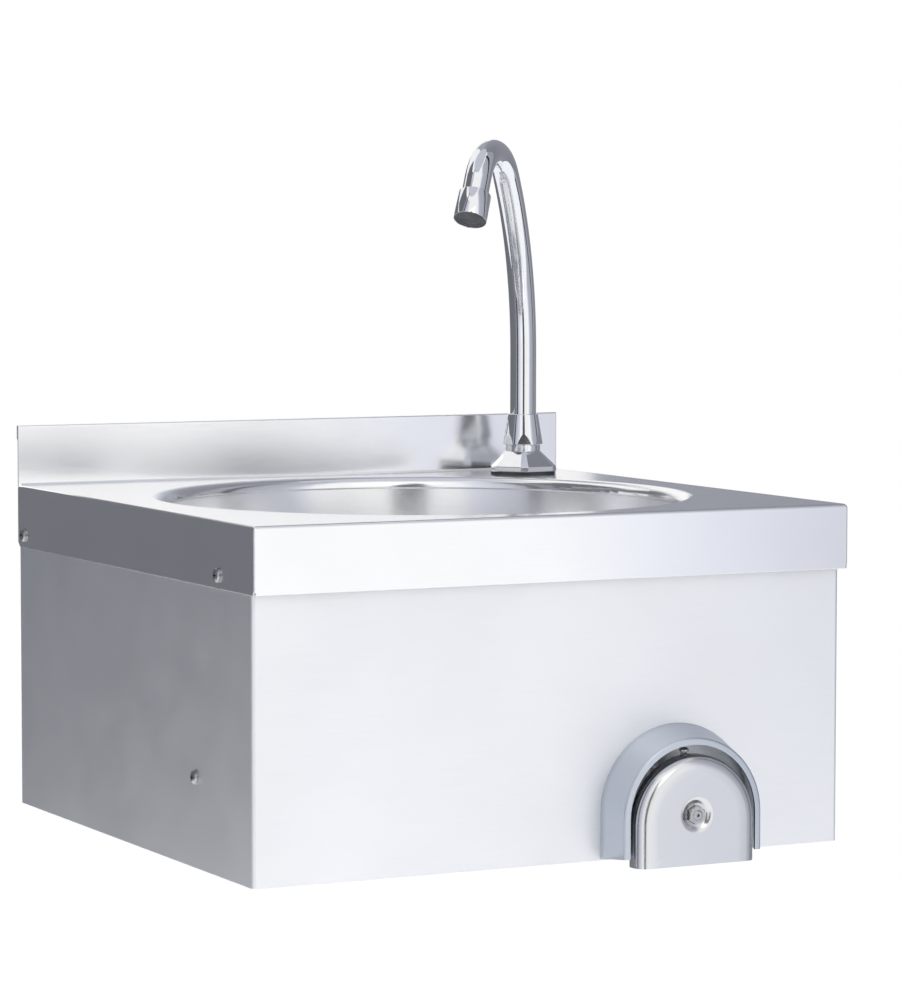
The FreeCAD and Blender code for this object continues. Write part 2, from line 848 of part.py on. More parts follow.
def collar_rim(edge, knee, centre, radius):
    """Tells whether an edge runs along the collar's outer front rim."""
    middle = edge.valueAt((edge.FirstParameter + edge.LastParameter) / 2)
    if middle.z < centre.number:
        return abs(abs(middle.x - knee.number) - radius) < NEAR
    reach = math.hypot(middle.x - knee.number, middle.z - centre.number)
    return abs(reach - radius) < NEAR


def make_knee_pad():
    """Pressed D-shaped cap with a soft edge and a dimple for its nut, open at the back and below."""
    body = new_body("knee_pad")
    gauge, radius, edge_radius = get("gauge"), get("pad_radius"), get("pad_edge")
    knee, centre = knee_x(), casing_low() + get("pad_lift")
    low = casing_low() - get("pad_overhang")
    front = -panel_face() + get("pad_reach")
    skirt = get("pad_skirt")
    below = low - BEYOND

    sketch = sketch_on(body, "XZ_Plane", front - skirt)
    arch(sketch, knee, centre, radius, low)
    pad(body, sketch, skirt)
    sketch = sketch_on(body, "XZ_Plane", front - skirt)
    arch(sketch, knee, centre, radius - gauge, below)
    pocket(body, sketch, skirt - gauge, reversed_way=True)
    face, inside = -front, gauge - front
    round_off(body, edge_radius - gauge, lambda edge: lies(edge, y=inside) and not lies(edge, z=low))
    round_off(body, edge_radius, lambda edge: lies(edge, y=face) and not lies(edge, z=low))

    dimple, deep, floor = get("dimple_radius"), get("dimple_depth"), get("dimple_floor")
    axis = valve_height()
    for grown, near, far, kind in (
        (gauge, front - gauge, front - gauge - deep, "PartDesign::AdditiveLoft"),
        (Size(0), front, front - deep, "PartDesign::SubtractiveLoft"),
    ):
        wide = sketch_on(body, "XZ_Plane", near)
        circle(wide, knee, axis, dimple + grown)
        narrow = sketch_on(body, "XZ_Plane", far)
        circle(narrow, knee, axis, floor + grown)
        loft = body.newObject(kind, "Dimple")
        loft.Profile = wide
        loft.Sections = [narrow]
    sketch = sketch_on(body, "XZ_Plane", front)
    circle(sketch, knee, axis, get("stud_radius") + get("screw_clearance") / 2)
    pocket(body, sketch)
    return keep(body, "knee_pad")


def strap_front():
    """How far the strap's front face stands out from the casing."""
    return get("pad_reach") - get("gauge") - get("dimple_depth")


def guide_top():
    """Height of the strap's folded upper face."""
    return casing_low() + get("guide_lift")


def make_guide_strap():
    """Strap behind the pad, folded back at the top to carry the guide screw."""
    body = new_body("guide_strap")
    gauge, half = get("guide_gauge"), get("guide_width") / 2
    knee, panel = knee_x(), panel_face()
    front = panel - strap_front()
    top = guide_top()
    low = valve_height() - half
    sketch = sketch_on(body, "YZ_Plane", knee - half)
    outline(sketch, [
        (front, low), (front + gauge, low), (front + gauge, top - gauge),
        (front + get("guide_reach"), top - gauge), (front + get("guide_reach"), top), (front, top),
    ])
    pad(body, sketch, half * 2)
    bend = get("guide_bend")
    round_off(body, bend - gauge, lambda edge: lies(edge, y=front + gauge, z=top - gauge))
    round_off(body, bend, lambda edge: lies(edge, y=front, z=top))
    sketch = sketch_on(body, "XZ_Plane", -(front + gauge))
    circle(sketch, knee, valve_height(), get("stud_radius") + get("screw_clearance") / 2)
    pocket(body, sketch, gauge + BEYOND, reversed_way=True)
    sketch = sketch_on(body, "XY_Plane", top - gauge)
    circle(sketch, knee, front + get("guide_screw_place"), get("screw_radius") + get("rod_fit"))
    pocket(body, sketch, gauge + BEYOND, reversed_way=True)
    return keep(body, "guide_strap")


def make_guide_screw():
    """Upright screw, held by a lock nut under the strap, whose end runs in the guide arm's fork."""
    knee = knee_x()
    spot = panel_face() - strap_front() + get("guide_screw_place")
    top = guide_top()
    screw = pan_screw("guide_screw", get("guide_screw_head"), get("screw_head_height"),
                      get("screw_radius"), get("guide_screw_length"))
    place(screw, knee, spot, top + get("guide_screw_proud") - get("screw_head_height"))
    keep(screw, "guide_screw")
    nut = hex_nut("guide_lock_nut", get("screw_nut"), get("screw_nut_height"),
                  get("screw_radius") + get("rod_fit"), -get("screw_nut_height"))
    place(nut, knee, spot, top - get("guide_gauge"))
    keep(nut, "guide_lock_nut")


def guide_arm_height():
    """Height of the guide arm's upper face, just under the lock nut."""
    return guide_top() - get("guide_gauge") - get("screw_nut_height") - get("seat_clearance")


def make_guide_arm():
    """Bracket clamped under the nose nut, with a fork that keeps the pad from turning."""
    body = new_body("guide_arm")
    gauge, half = get("guide_gauge"), get("guide_arm_width") / 2
    knee, panel, top = knee_x(), panel_face(), guide_arm_height()
    low = valve_height() - half
    reach = get("guide_arm_reach")
    sketch = sketch_on(body, "YZ_Plane", knee - half)
    outline(sketch, [
        (panel - gauge, low), (panel, low), (panel, top), (panel - reach, top),
        (panel - reach, top - gauge), (panel - gauge, top - gauge),
    ])
    pad(body, sketch, half * 2)
    round_off(body, gauge, lambda edge: lies(edge, y=panel, z=top))
    sketch = sketch_on(body, "XZ_Plane", -panel - BEYOND)
    circle(sketch, knee, valve_height(), get("nose_radius") + get("screw_clearance"))
    pocket(body, sketch, gauge + BEYOND * 2, reversed_way=True)
    slot = get("screw_radius") + get("rod_fit")
    sketch = sketch_on(body, "XY_Plane", top - gauge)
    rectangle(sketch, knee - slot, panel - reach - BEYOND, knee + slot, panel - gauge)
    pocket(body, sketch, gauge + BEYOND, reversed_way=True)
    round_off(body, half / 2, lambda edge: lies(edge, x=knee - half, z=low)
              or lies(edge, x=knee + half, z=low))
    return keep(body, "guide_arm")


# ---------------------------------------------------------------- push valve

def valve_height():
    """Height of the push valve's axis."""
    return casing_low() + get("valve_lift")


def on_valve_axis(body, label):
    """Puts a turned piece on the valve's axis, with local zero at the casing's front face."""
    place(body, knee_x(), panel_face(), valve_height(), TURNED_BACK)
    return keep(body, label)


def valve_flange_start():
    """Where the valve's flange begins, behind the panel and its gasket."""
    return get("gauge") + get("valve_gasket_height")


def seat_face():
    """Where the seat's rear face stands."""
    return get("seat_front") + get("seat_height")


def gland_width():
    """Length of the groove that holds the rod's sealing ring."""
    return get("ring_wire") * 2 + get("pipe_clearance") * 2


def make_valve_body():
    """Cast and bored valve body: threaded nose, flange, barrel, seat and side outlet."""
    body = new_body("valve_body")
    nose, flange = get("nose_radius"), valve_flange_start()
    barrel, end = get("barrel_radius"), get("barrel_end")
    shoulder = flange + get("valve_flange_height")
    revolve(body, [
        (0, -get("nose_length")), (nose, -get("nose_length")), (nose, flange),
        (get("valve_flange_radius"), flange), (get("valve_flange_radius"), shoulder),
        (barrel, shoulder), (barrel, end), (0, end),
    ])
    sketch = sketch_on(body, "YZ_Plane")
    circle(sketch, 0, get("outlet_place"), get("outlet_radius"))
    pad(body, sketch, get("outlet_reach"))
    bore = get("rod_radius") + get("rod_fit")
    gland, groove = get("gland_start"), get("rod_radius") + get("ring_wire") * 2 + get("rod_fit") * 2
    front, front_radius = get("front_chamber_start"), get("front_chamber_radius")
    rear_radius, seat = get("rear_chamber_radius"), get("seat_radius")
    revolve(body, [
        (0, -get("nose_length") - BEYOND), (bore, -get("nose_length") - BEYOND), (bore, gland),
        (groove, gland), (groove, gland + gland_width()), (bore, gland + gland_width()),
        (bore, front), (front_radius, front), (front_radius, get("seat_front")),
        (seat, get("seat_front")), (seat, seat_face()), (rear_radius, seat_face()),
        (rear_radius, end + BEYOND), (0, end + BEYOND),
    ], cut=True)
    sketch = sketch_on(body, "YZ_Plane", get("outlet_reach"))
    circle(sketch, 0, get("outlet_place"), get("outlet_bore"))
    pocket(body, sketch, get("outlet_reach"))
    sketch = sketch_on(body, "YZ_Plane", get("outlet_reach"))
    circle(sketch, 0, get("outlet_place"), get("pipe_radius") + get("pipe_clearance"))
    pocket(body, sketch, get("socket_depth"))
    return on_valve_axis(body, "valve_body")


def ring_of_holes(body, height, place_out, radius, depth, count):
    """Cuts like holes down from a height, evenly round the body's Z axis."""
    sketch = sketch_on(body, "XY_Plane", height)
    circle(sketch, place_out, 0, radius)
    hole = pocket(body, sketch, depth)
    pattern = body.newObject("PartDesign::PolarPattern", "Holes")
    pattern.Originals = [hole]
    axis = [item for item in body.Origin.OriginFeatures if item.Role == "Z_Axis"][0]
    pattern.Axis = (axis, [""])
    pattern.Angle = 360
    pattern.Occurrences = count
    body.Tip = pattern


def washer(name, inner, outer, low, high):
    """A flat ring about the local Z axis."""
    body = new_body(name)
    revolve(body, [(inner, low), (outer, low), (outer, high), (inner, high)])
    return body


def make_valve_fittings():
    """Gasket, nose nut, gland ring, inlet connector and its lock nut."""
    gauge, arm = get("gauge"), get("guide_gauge")
    free = get("screw_clearance") / 2
    gasket = washer("valve_gasket", get("nose_radius") + free, get("valve_flange_radius"),
                    gauge, valve_flange_start())
    on_valve_axis(gasket, "valve_gasket")
    nut = hex_nut("nose_nut", get("nose_nut"), get("nose_nut_height"), get("nose_radius") + free,
                  -(arm + get("nose_nut_height")))
    on_valve_axis(nut, "nose_nut")
    make_ring("gland_ring", get("rod_radius") + get("rod_fit"), get("ring_wire"),
              get("gland_start") + gland_width() / 2)

    connector = new_body("inlet_connector")
    end, thread = get("barrel_end"), get("rear_chamber_radius") - get("thread_fit")
    seat = get("brace_reach")
    sketch = sketch_on(connector, "XY_Plane", end)
    polygon(sketch, NUT_SIDES, get("connector_hex"))
    pad(connector, sketch, seat - end)
    radius, length, clamp = get("inlet_radius"), get("inlet_length"), get("clamp_radius")
    step = seat + get("brace_gauge") + get("lock_nut_height")
    revolve(connector, [
        (0, end - get("connector_inside")), (thread, end - get("connector_inside")), (thread, end),
        (clamp, end), (clamp, step), (radius, step), (radius, seat + length - gauge),
        (radius - gauge, seat + length), (0, seat + length),
    ])
    drill(connector, get("inlet_bore"), end - get("connector_inside") - BEYOND, seat + length + BEYOND)
    on_valve_axis(connector, "inlet_connector")
    lock = hex_nut("inlet_lock_nut", get("lock_nut"), get("lock_nut_height"), clamp + free,
                   seat + get("brace_gauge"))
    on_valve_axis(lock, "inlet_lock_nut")


def make_ring(name, inner, wire, middle):
    """A sealing ring on the valve's axis."""
    ring = doc.addObject("Part::Torus", name)
    bind(ring, "Radius1", inner + wire)
    bind(ring, "Radius2", wire)
    place(ring, knee_x(), panel_face() + middle, valve_height(), TURNED_BACK)
    return keep(ring, name)


def make_plunger():
    """Push rod, poppet, its rubber washer, the pad nut and the return spring."""
    rod_radius, tail = get("rod_radius"), get("rod_tail_radius")
    shoulder = get("guide_gauge") - strap_front()
    poppet_face = seat_face() + get("seat_gap")
    poppet_back = poppet_face + get("washer_height") + get("poppet_height")
    dimple_face = -(get("pad_reach") - get("dimple_depth"))
    stud_end = dimple_face - get("pad_nut_height") - get("stud_proud")
    stud, chamfer = get("stud_radius"), get("stud_proud")
    rod = new_body("push_rod")
    revolve(rod, [
        (0, stud_end + chamfer * 2), (stud / 3, stud_end + chamfer * 2), (stud / 3, stud_end),
        (stud - chamfer, stud_end), (stud, stud_end + chamfer), (stud, shoulder),
        (rod_radius, shoulder), (rod_radius, poppet_face), (tail, poppet_face),
        (tail, poppet_back), (0, poppet_back),
    ])
    on_valve_axis(rod, "push_rod")
    bore = tail + get("rod_fit")
    ring = washer("seat_washer", bore, get("poppet_radius"), poppet_face,
                  poppet_face + get("washer_height"))
    on_valve_axis(ring, "seat_washer")
    poppet = washer("poppet", bore, get("poppet_radius"), poppet_face + get("washer_height"),
                    poppet_back)
    on_valve_axis(poppet, "poppet")
    nut = hex_nut("pad_nut", get("pad_nut"), get("pad_nut_height"), stud + get("rod_fit"),
                  dimple_face - get("pad_nut_height"))
    on_valve_axis(nut, "pad_nut")
    make_return_spring(shoulder)


def make_return_spring(front):
    """Coil spring round the rod, between the valve's nose and the strap."""
    wire = get("spring_wire") / 2
    length = -get("nose_length") - front
    height = length - wire * 2 - get("pipe_clearance") * 2
    helix = doc.addObject("Part::Helix", "spring_path")
    bind(helix, "Pitch", height / get("spring_turns"))
    bind(helix, "Height", height)
    bind(helix, "Radius", get("spring_radius"))
    section = doc.addObject("Part::Circle", "spring_section")
    bind(section, "Radius", wire)
    section.Placement = FreeCAD.Placement(
        FreeCAD.Vector(get("spring_radius").number, 0, 0),
        FreeCAD.Rotation(FreeCAD.Vector(1, 0, 0), 90))
    bind(section, "Placement.Base.x", get("spring_radius"))
    spring = doc.addObject("Part::Sweep", "return_spring")
    spring.Sections = [section]
    spring.Spine = (helix, ["Edge1"])
    spring.Solid = True
    spring.Frenet = True
    start = front + wire + get("pipe_clearance")
    place(spring, knee_x(), panel_face() + start, valve_height(), TURNED_BACK)
    return keep(spring, "return_spring")


# ---------------------------------------------------------------- supply pipe

def make_feed_pipe():
    """Copper pipe from the valve's outlet to the tap's shank, with a bend at each turn."""
    radius, bend = get("pipe_radius").number, get("pipe_bend").number
    start = FreeCAD.Vector(
        (knee_x() + get("outlet_reach") - get("socket_depth") + get("pipe_clearance")).number,
        (panel_face() + get("outlet_place")).number, valve_height().number)
    far_x, far_y = tap_x().number, -get("tap_back").number
    end_height = (shank_low() + get("socket_depth") - get("pipe_clearance")).number
    right, back, up = FreeCAD.Vector(1, 0, 0), FreeCAD.Vector(0, 1, 0), FreeCAD.Vector(0, 0, 1)
    first = FreeCAD.Vector(far_x, start.y, start.z)
    second = FreeCAD.Vector(far_x, far_y, start.z)
    end = FreeCAD.Vector(far_x, far_y, end_height)
    edges = [Part.makeLine(start, first - right * bend)]
    edges.append(quarter_turn(first, right, back, bend))
    edges.append(Part.makeLine(first + back * bend, second - back * bend))
    edges.append(quarter_turn(second, back, up, bend))
    edges.append(Part.makeLine(second + up * bend, end))
    spine = Part.Wire(edges)
    outer = Part.Wire(Part.makeCircle(radius, start, right))
    inner = Part.Wire(Part.makeCircle(radius - get("pipe_wall").number, start, right))
    solid = spine.makePipeShell([outer], True, False).cut(spine.makePipeShell([inner], True, False))
    pipe = doc.addObject("Part::Feature", "feed_pipe")
    pipe.Shape = solid
    pipe.Placement = FreeCAD.Placement()
    return keep(pipe, "feed_pipe")


def quarter_turn(corner, way_in, way_out, radius):
    """A quarter circle that joins two straight runs meeting at a corner."""
    start = corner - way_in * radius
    end = corner + way_out * radius
    centre = start + way_out * radius
    middle = centre + (way_in - way_out) * (radius / math.sqrt(2))
    return Part.Arc(start, middle, end).toShape()


def pipe_nut(name, thread_radius, grip):
    """A nut that closes on a threaded end below local zero and holds the pipe above it."""
    body = new_body(name)
    height = get("pipe_nut_height")
    sketch = sketch_on(body, "XY_Plane", -grip)
    polygon(sketch, NUT_SIDES, get("pipe_nut") + (thread_radius - get("outlet_radius")) * 2)
    pad(body, sketch, height)
    drill(body, thread_radius + get("thread_fit"), -grip - BEYOND, get("pipe_clearance"))
    drill(body, get("pipe_radius") + get("pipe_clearance"), -BEYOND, height)
    return body


def make_pipe_nuts():
    """Union nuts at both ends of the supply pipe."""
    grip = get("socket_depth")
    valve_nut = pipe_nut("outlet_union_nut", get("outlet_radius"), grip)
    place(valve_nut, knee_x() + get("outlet_reach"), panel_face() + get("outlet_place"),
          valve_height(), TURNED_RIGHT)
    keep(valve_nut, "outlet_union_nut")
    shank_nut = pipe_nut("shank_union_nut", get("shank_radius"), grip)
    place(shank_nut, tap_x(), -get("tap_back"), shank_low(), ((1, 0, 0), 180))
    keep(shank_nut, "shank_union_nut")


# ---------------------------------------------------------------- tap

def on_tap_axis(body, label):
    """Puts a piece on the tap's axis, with local zero at the deck."""
    place(body, tap_x(), -get("tap_back"), deck_top())
    return keep(body, label)


def shank_low():
    """Height of the lower end of the tap's threaded shank."""
    return deck_top() - get("shank_length")


def neck_start():
    """Where the round neck begins above the faceted base."""
    return get("tap_gasket_height") + get("tap_band") + get("tap_slope")


def nut_start():
    """Where the spout nut begins above the deck."""
    return neck_start() + get("neck_ring")


def octagon(sketch, corner_radius):
    """Draws an octagon by its corner radius, turned so that one corner faces the user's left."""
    across_flats = corner_radius * 2 * math.cos(math.pi / BASE_SIDES)
    polygon(sketch, BASE_SIDES, across_flats, SIZES["tap_turn"])


def make_tap_body():
    """Cast tap body: eight-sided sloping base, round neck with the spout's socket, threaded shank."""
    body = new_body("tap_body")
    low = get("tap_gasket_height")
    band = low + get("tap_band")
    sketch = sketch_on(body, "XY_Plane", low)
    octagon(sketch, get("tap_base_radius"))
    pad(body, sketch, get("tap_band"))
    wide = sketch_on(body, "XY_Plane", band)
    octagon(wide, get("tap_base_radius"))
    narrow = sketch_on(body, "XY_Plane", neck_start())
    octagon(narrow, get("tap_top_radius"))
    loft = body.newObject("PartDesign::AdditiveLoft", "Slope")
    loft.Profile = wide
    loft.Sections = [narrow]
    loft.Ruled = True
    bore, socket = get("tap_bore"), get("neck_socket")
    neck_top = nut_start() + get("neck_length")
    revolve(body, [
        (0, -get("shank_length")), (get("shank_radius"), -get("shank_length")),
        (get("shank_radius"), low), (get("neck_radius"), low), (get("neck_radius"), nut_start()),
        (get("neck_thread"), nut_start()), (get("neck_thread"), neck_top), (0, neck_top),
    ])
    end = get("socket_depth") - get("shank_length")
    revolve(body, [
        (0, -get("shank_length") - BEYOND),
        (get("pipe_radius") + get("pipe_clearance"), -get("shank_length") - BEYOND),
        (get("pipe_radius") + get("pipe_clearance"), end), (bore, end), (bore, nut_start()),
        (socket, nut_start()), (socket, neck_top + BEYOND), (0, neck_top + BEYOND),
    ], cut=True)
    return on_tap_axis(body, "tap_body")


def make_tap_fixings():
    """Rubber gasket above the deck, washer and back nut below it, and the tapered spout nut."""
    free, gauge = get("screw_clearance") / 2, get("gauge")
    gasket = washer("tap_gasket", get("shank_radius") + free, get("tap_base_radius") - free, Size(0),
                    get("tap_gasket_height"))
    on_tap_axis(gasket, "tap_gasket")
    low = -gauge - get("washer_height")
    ring = washer("tap_washer", get("shank_radius") + free, get("tap_washer_radius"), low, -gauge)
    on_tap_axis(ring, "tap_washer")
    nut = hex_nut("tap_back_nut", get("back_nut"), get("back_nut_height"), get("shank_radius") + free,
                  low - get("back_nut_height"))
    on_tap_axis(nut, "tap_back_nut")
    make_spout_nut()


def spout_seat():
    """Where the spout's collar rests, on the neck's upper end."""
    return nut_start() + get("neck_length")


def make_spout_nut():
    """Tapered nut with eight flats at its foot, which holds the spout's collar down."""
    body = new_body("spout_nut")
    low, height = nut_start(), get("spout_nut_height")
    top = low + height
    base, crown = get("spout_nut_base"), get("spout_nut_top")
    revolve(body, [(0, low), (base, low), (crown, top), (0, top)])
    sketch = sketch_on(body, "XY_Plane", low)
    polygon(sketch, BASE_SIDES, get("spout_nut_flats"), SIZES["tap_turn"] + 180 / BASE_SIDES)
    circle(sketch, 0, 0, base + BEYOND)
    pocket(body, sketch, reversed_way=True)
    shoulder = spout_seat() + get("tail_collar_height") + get("pipe_clearance")
    drill(body, get("neck_thread") + get("thread_fit"), low - BEYOND, shoulder)
    drill(body, get("tube_radius") + get("tail_fit"), shoulder - BEYOND, top + BEYOND)
    return on_tap_axis(body, "spout_nut")


def make_spout_tail():
    """Turned bush brazed into the tube: spigot, collar and grooved stem in the neck's socket."""
    body = new_body("spout_tail")
    stem, seat = get("neck_socket") - get("tail_fit"), spout_seat()
    collar_top = seat + get("tail_collar_height")
    spigot = get("tube_radius") - get("tube_wall") - get("tail_fit")
    low, bore = nut_start() + get("seat_clearance"), get("tap_bore")
    revolve(body, [
        (bore, low), (stem, low), (stem, seat), (get("tail_collar"), seat),
        (get("tail_collar"), collar_top), (spigot, collar_top),
        (spigot, collar_top + get("tail_spigot")), (bore, collar_top + get("tail_spigot")),
    ])
    wire = get("tail_ring_wire")
    rings = []
    for index, third in enumerate((1, 2)):
        middle = low + (seat - low) * third / 3
        half = wire + get("tail_fit")
        floor = stem - wire * 2 - get("tail_fit")
        revolve(body, [(floor, middle - half), (stem + BEYOND, middle - half),
                       (stem + BEYOND, middle + half), (floor, middle + half)], cut=True)
        ring = doc.addObject("Part::Torus", "spout_ring_%d" % (index + 1))
        bind(ring, "Radius1", stem - wire)
        bind(ring, "Radius2", wire)
        place(ring, tap_x(), -get("tap_back"), deck_top() + middle)
        rings.append(ring)
    on_tap_axis(body, "spout_tail")
    group("spout_rings", rings)


def make_spout_tube():
    """Swan-neck tube: upright run, long bow, tight bow and a short straight outlet."""
    body = new_body("spout_tube")
    start = spout_seat() + get("tail_collar_height")
    rise, wide, tight = get("spout_rise"), get("first_bend"), get("second_bend")
    turn_one, turn_two, straight = get("first_turn"), get("second_turn"), get("spout_end")
    path = sketch_on(body, "XZ_Plane", name="Path")
    vector = FreeCAD.Vector
    low, high = vector(0, start.number, 0), vector(0, rise.number, 0)
    path.addGeometry(Part.LineSegment(low, high))
    one, both = turn_one.number, turn_one.number + turn_two.number
    centre = vector(wide.number, rise.number, 0)
    ring = Part.Circle(centre, vector(0, 0, 1), wide.number)
    path.addGeometry(Part.ArcOfCircle(ring, math.radians(180 - one), math.pi))
    way = vector(-math.cos(math.radians(one)), math.sin(math.radians(one)), 0)
    centre_two = centre + way * (wide.number - tight.number)
    ring = Part.Circle(centre_two, vector(0, 0, 1), tight.number)
    path.addGeometry(Part.ArcOfCircle(ring, math.radians(180 - both), math.radians(180 - one)))
    out = vector(-math.cos(math.radians(both)), math.sin(math.radians(both)), 0)
    last = centre_two + out * tight.number
    heading = vector(math.sin(math.radians(both)), math.cos(math.radians(both)), 0)
    path.addGeometry(Part.LineSegment(last, last + heading * straight.number))
    pin(path, 0, 1, 0, start)
    path.addConstraint(Sketcher.Constraint("Vertical", 0))
    pin_top = path.addConstraint(Sketcher.Constraint("DistanceY", 0, 2, rise.number))
    bind(path, "Constraints[%d]" % pin_top, rise)
    path.addConstraint(Sketcher.Constraint("Tangent", 0, 2, 1, 2))
    path.addConstraint(Sketcher.Constraint("Tangent", 1, 1, 2, 2))
    path.addConstraint(Sketcher.Constraint("Tangent", 2, 1, 3, 1))
    for geometry, radius, turn in ((1, wide, turn_one), (2, tight, turn_two)):
        row = path.addConstraint(Sketcher.Constraint("Radius", geometry, radius.number))
        bind(path, "Constraints[%d]" % row, radius)
        angle = math.radians(turn.number)
        row = path.addConstraint(Sketcher.Constraint("Angle", geometry, angle))
        path.setExpression("Constraints[%d]" % row, turn.formula + " * 1 deg")
    row = path.addConstraint(Sketcher.Constraint("Distance", 3, straight.number))
    bind(path, "Constraints[%d]" % row, straight)
    section = sketch_on(body, "XY_Plane", start, name="Section")
    circle(section, 0, 0, get("tube_radius"))
    circle(section, 0, 0, get("tube_radius") - get("tube_wall"))
    pipe = body.newObject("PartDesign::AdditivePipe", "Tube")
    pipe.Profile = section
    pipe.Spine = path
    place(body, tap_x(), -get("tap_back"), deck_top(), ((0, 0, 1), SIZES["spout_heading"]))
    return keep(body, "spout_tube")


def outlet_reach():
    """How far the tube's end lies out from the tap's axis."""
    one = get("first_turn")
    both = one + get("second_turn")
    return (get("first_bend") * (1 - cosine(one)) + get("second_bend") * (cosine(one) - cosine(both))
            + get("spout_end") * sine(both))


def outlet_rise():
    """How far the tube's end lies above the deck."""
    one = get("first_turn")
    both = one + get("second_turn")
    return (get("spout_rise") + get("first_bend") * sine(one)
            + get("second_bend") * (sine(both) - sine(one)) + get("spout_end") * cosine(both))


def on_outlet(body, label):
    """Puts a piece on the outlet's axis, with local zero at the tube's end and +Z the water's way."""
    heading = get("spout_heading")
    reach = outlet_reach()
    place(body, tap_x() + reach * cosine(heading), reach * sine(heading) - get("tap_back"),
          deck_top() + outlet_rise())
    lean = FreeCAD.Rotation(FreeCAD.Vector(0, 1, 0), SIZES["first_turn"] + SIZES["second_turn"])
    swing = FreeCAD.Rotation(FreeCAD.Vector(0, 0, 1), SIZES["spout_heading"])
    body.Placement = FreeCAD.Placement(body.Placement.Base, swing.multiply(lean))
    return keep(body, label)


def make_aerator():
    """Aerator screwed on the outlet: housing, washer and mesh insert."""
    radius, grip, length = get("aerator_radius"), get("aerator_grip"), get("aerator_length")
    tube, mesh, fit = get("tube_radius"), get("aerator_mesh"), get("thread_fit")
    lip = get("gauge")
    far = length - grip
    housing = new_body("aerator_housing")
    revolve(housing, [
        (tube + fit, -grip), (radius - lip / 2, -grip), (radius, lip / 2 - grip),
        (radius, far - lip), (radius - lip, far), (mesh, far), (mesh, far - lip),
        (tube + fit, far - lip),
    ])
    on_outlet(housing, "aerator_housing")
    ring = washer("aerator_washer", tube - get("tube_wall"), tube, fit * 2, get("tube_wall") + fit)
    on_outlet(ring, "aerator_washer")
    insert = new_body("aerator_insert")
    start = get("tube_wall") + fit * 2
    end = far - lip - fit
    face = end - get("aerator_recess")
    revolve(insert, [
        (0, start), (tube, start), (tube, end), (tube - lip, end), (tube - lip, face), (0, face),
    ])
    ring_of_holes(insert, face, tube / 2, get("aerator_hole"), face - start, AERATOR_HOLES)
    on_outlet(insert, "aerator_insert")


# ---------------------------------------------------------------- waste

def on_waste_axis(body, label):
    """Puts a piece on the bowl's axis, with local zero at the sump's floor."""
    place(body, 0, bowl_centre(), deck_top() - get("bowl_depth") - get("sump_depth"))
    return keep(body, label)


def make_waste_grid():
    """Perforated stainless strainer plate in the sump."""
    body = new_body("waste_grid")
    radius, height, hole = get("grid_radius"), get("grid_height"), get("grid_hole")
    revolve(body, [
        (0, 0), (radius, 0), (radius, height / 2), (radius - height, height), (0, height),
    ])
    for share, count in GRID_ROWS:
        ring_of_holes(body, height, radius * share, hole, height + BEYOND, count)
    drill(body, get("waste_screw") + get("screw_clearance") / 2, Size(-BEYOND), height + BEYOND)
    return on_waste_axis(body, "waste_grid")


def make_waste_body():
    """Waste cup under the bowl with a bridge for the strainer screw and a threaded tail."""
    body = new_body("waste_body")
    top = -get("gauge") - get("waste_seal_height")
    flange, wall = get("waste_flange"), get("waste_wall")
    under = top - get("waste_flange_height")
    tail, cup = get("waste_radius"), get("drain_radius") + wall
    cup_low = top - get("waste_cup_depth")
    tail_low = cup_low - get("waste_tail")
    revolve(body, [
        (get("drain_radius"), top), (flange, top), (flange, under), (cup + wall, under),
        (cup + wall, cup_low), (tail, cup_low - wall), (tail, tail_low), (tail - wall, tail_low),
        (tail - wall, cup_low), (get("drain_radius"), cup_low),
    ])
    bar = get("bridge_width") / 2
    sketch = sketch_on(body, "XY_Plane", cup_low)
    rectangle(sketch, -cup, -bar, cup, bar)
    pad(body, sketch, get("bridge_height"))
    drill(body, get("waste_screw") + get("rod_fit"), cup_low - BEYOND, top)
    return on_waste_axis(body, "waste_body")


def make_waste_fixings():
    """Seal between the bowl and the waste, and the strainer's screw."""
    gauge = get("gauge")
    low = -gauge - get("waste_seal_height")
    seal = washer("waste_seal", get("drain_radius") + gauge, get("grid_radius"), low, -gauge)
    on_waste_axis(seal, "waste_seal")
    screw = new_body("waste_screw")
    shank, head, plate = get("waste_screw"), get("waste_screw_head"), get("grid_height")
    end, crown = low - get("waste_cup_depth"), plate * 2
    revolve(screw, [
        (0, end), (shank, end), (shank, plate), (head, plate), (get("waste_screw_crown"), crown),
        (0, crown),
    ])
    sketch = sketch_on(screw, "XY_Plane", crown)
    slot = get("waste_screw_slot") / 2
    rectangle(sketch, -head, -slot, head, slot)
    pocket(screw, sketch, plate / 2)
    on_waste_axis(screw, "waste_screw")


# ---------------------------------------------------------------- whole sink

def build():
    """Makes every sub-part."""
    make_top_deck()
    make_bowl()
    make_casing()
    make_knee_collar()
    make_cross_brace()
    half = get("width") / 2
    inner = half - get("side_inset") - get("gauge")
    make_side_fasteners("apron", half, inner, screw_spots(), deck_top() - get("apron_screw_drop"))
    make_side_fasteners("brace", half - get("side_inset"), inner - get("brace_gauge"),
                        [brace_middle()], brace_screw_height())
    make_valve_body()
    make_valve_fittings()
    make_guide_arm()
    make_knee_pad()
    make_guide_strap()
    make_guide_screw()
    make_plunger()
    make_feed_pipe()
    make_pipe_nuts()
    make_tap_body()
    make_tap_fixings()
    make_spout_tail()
    make_spout_tube()
    make_aerator()
    make_waste_grid()
    make_waste_body()
    make_waste_fixings()


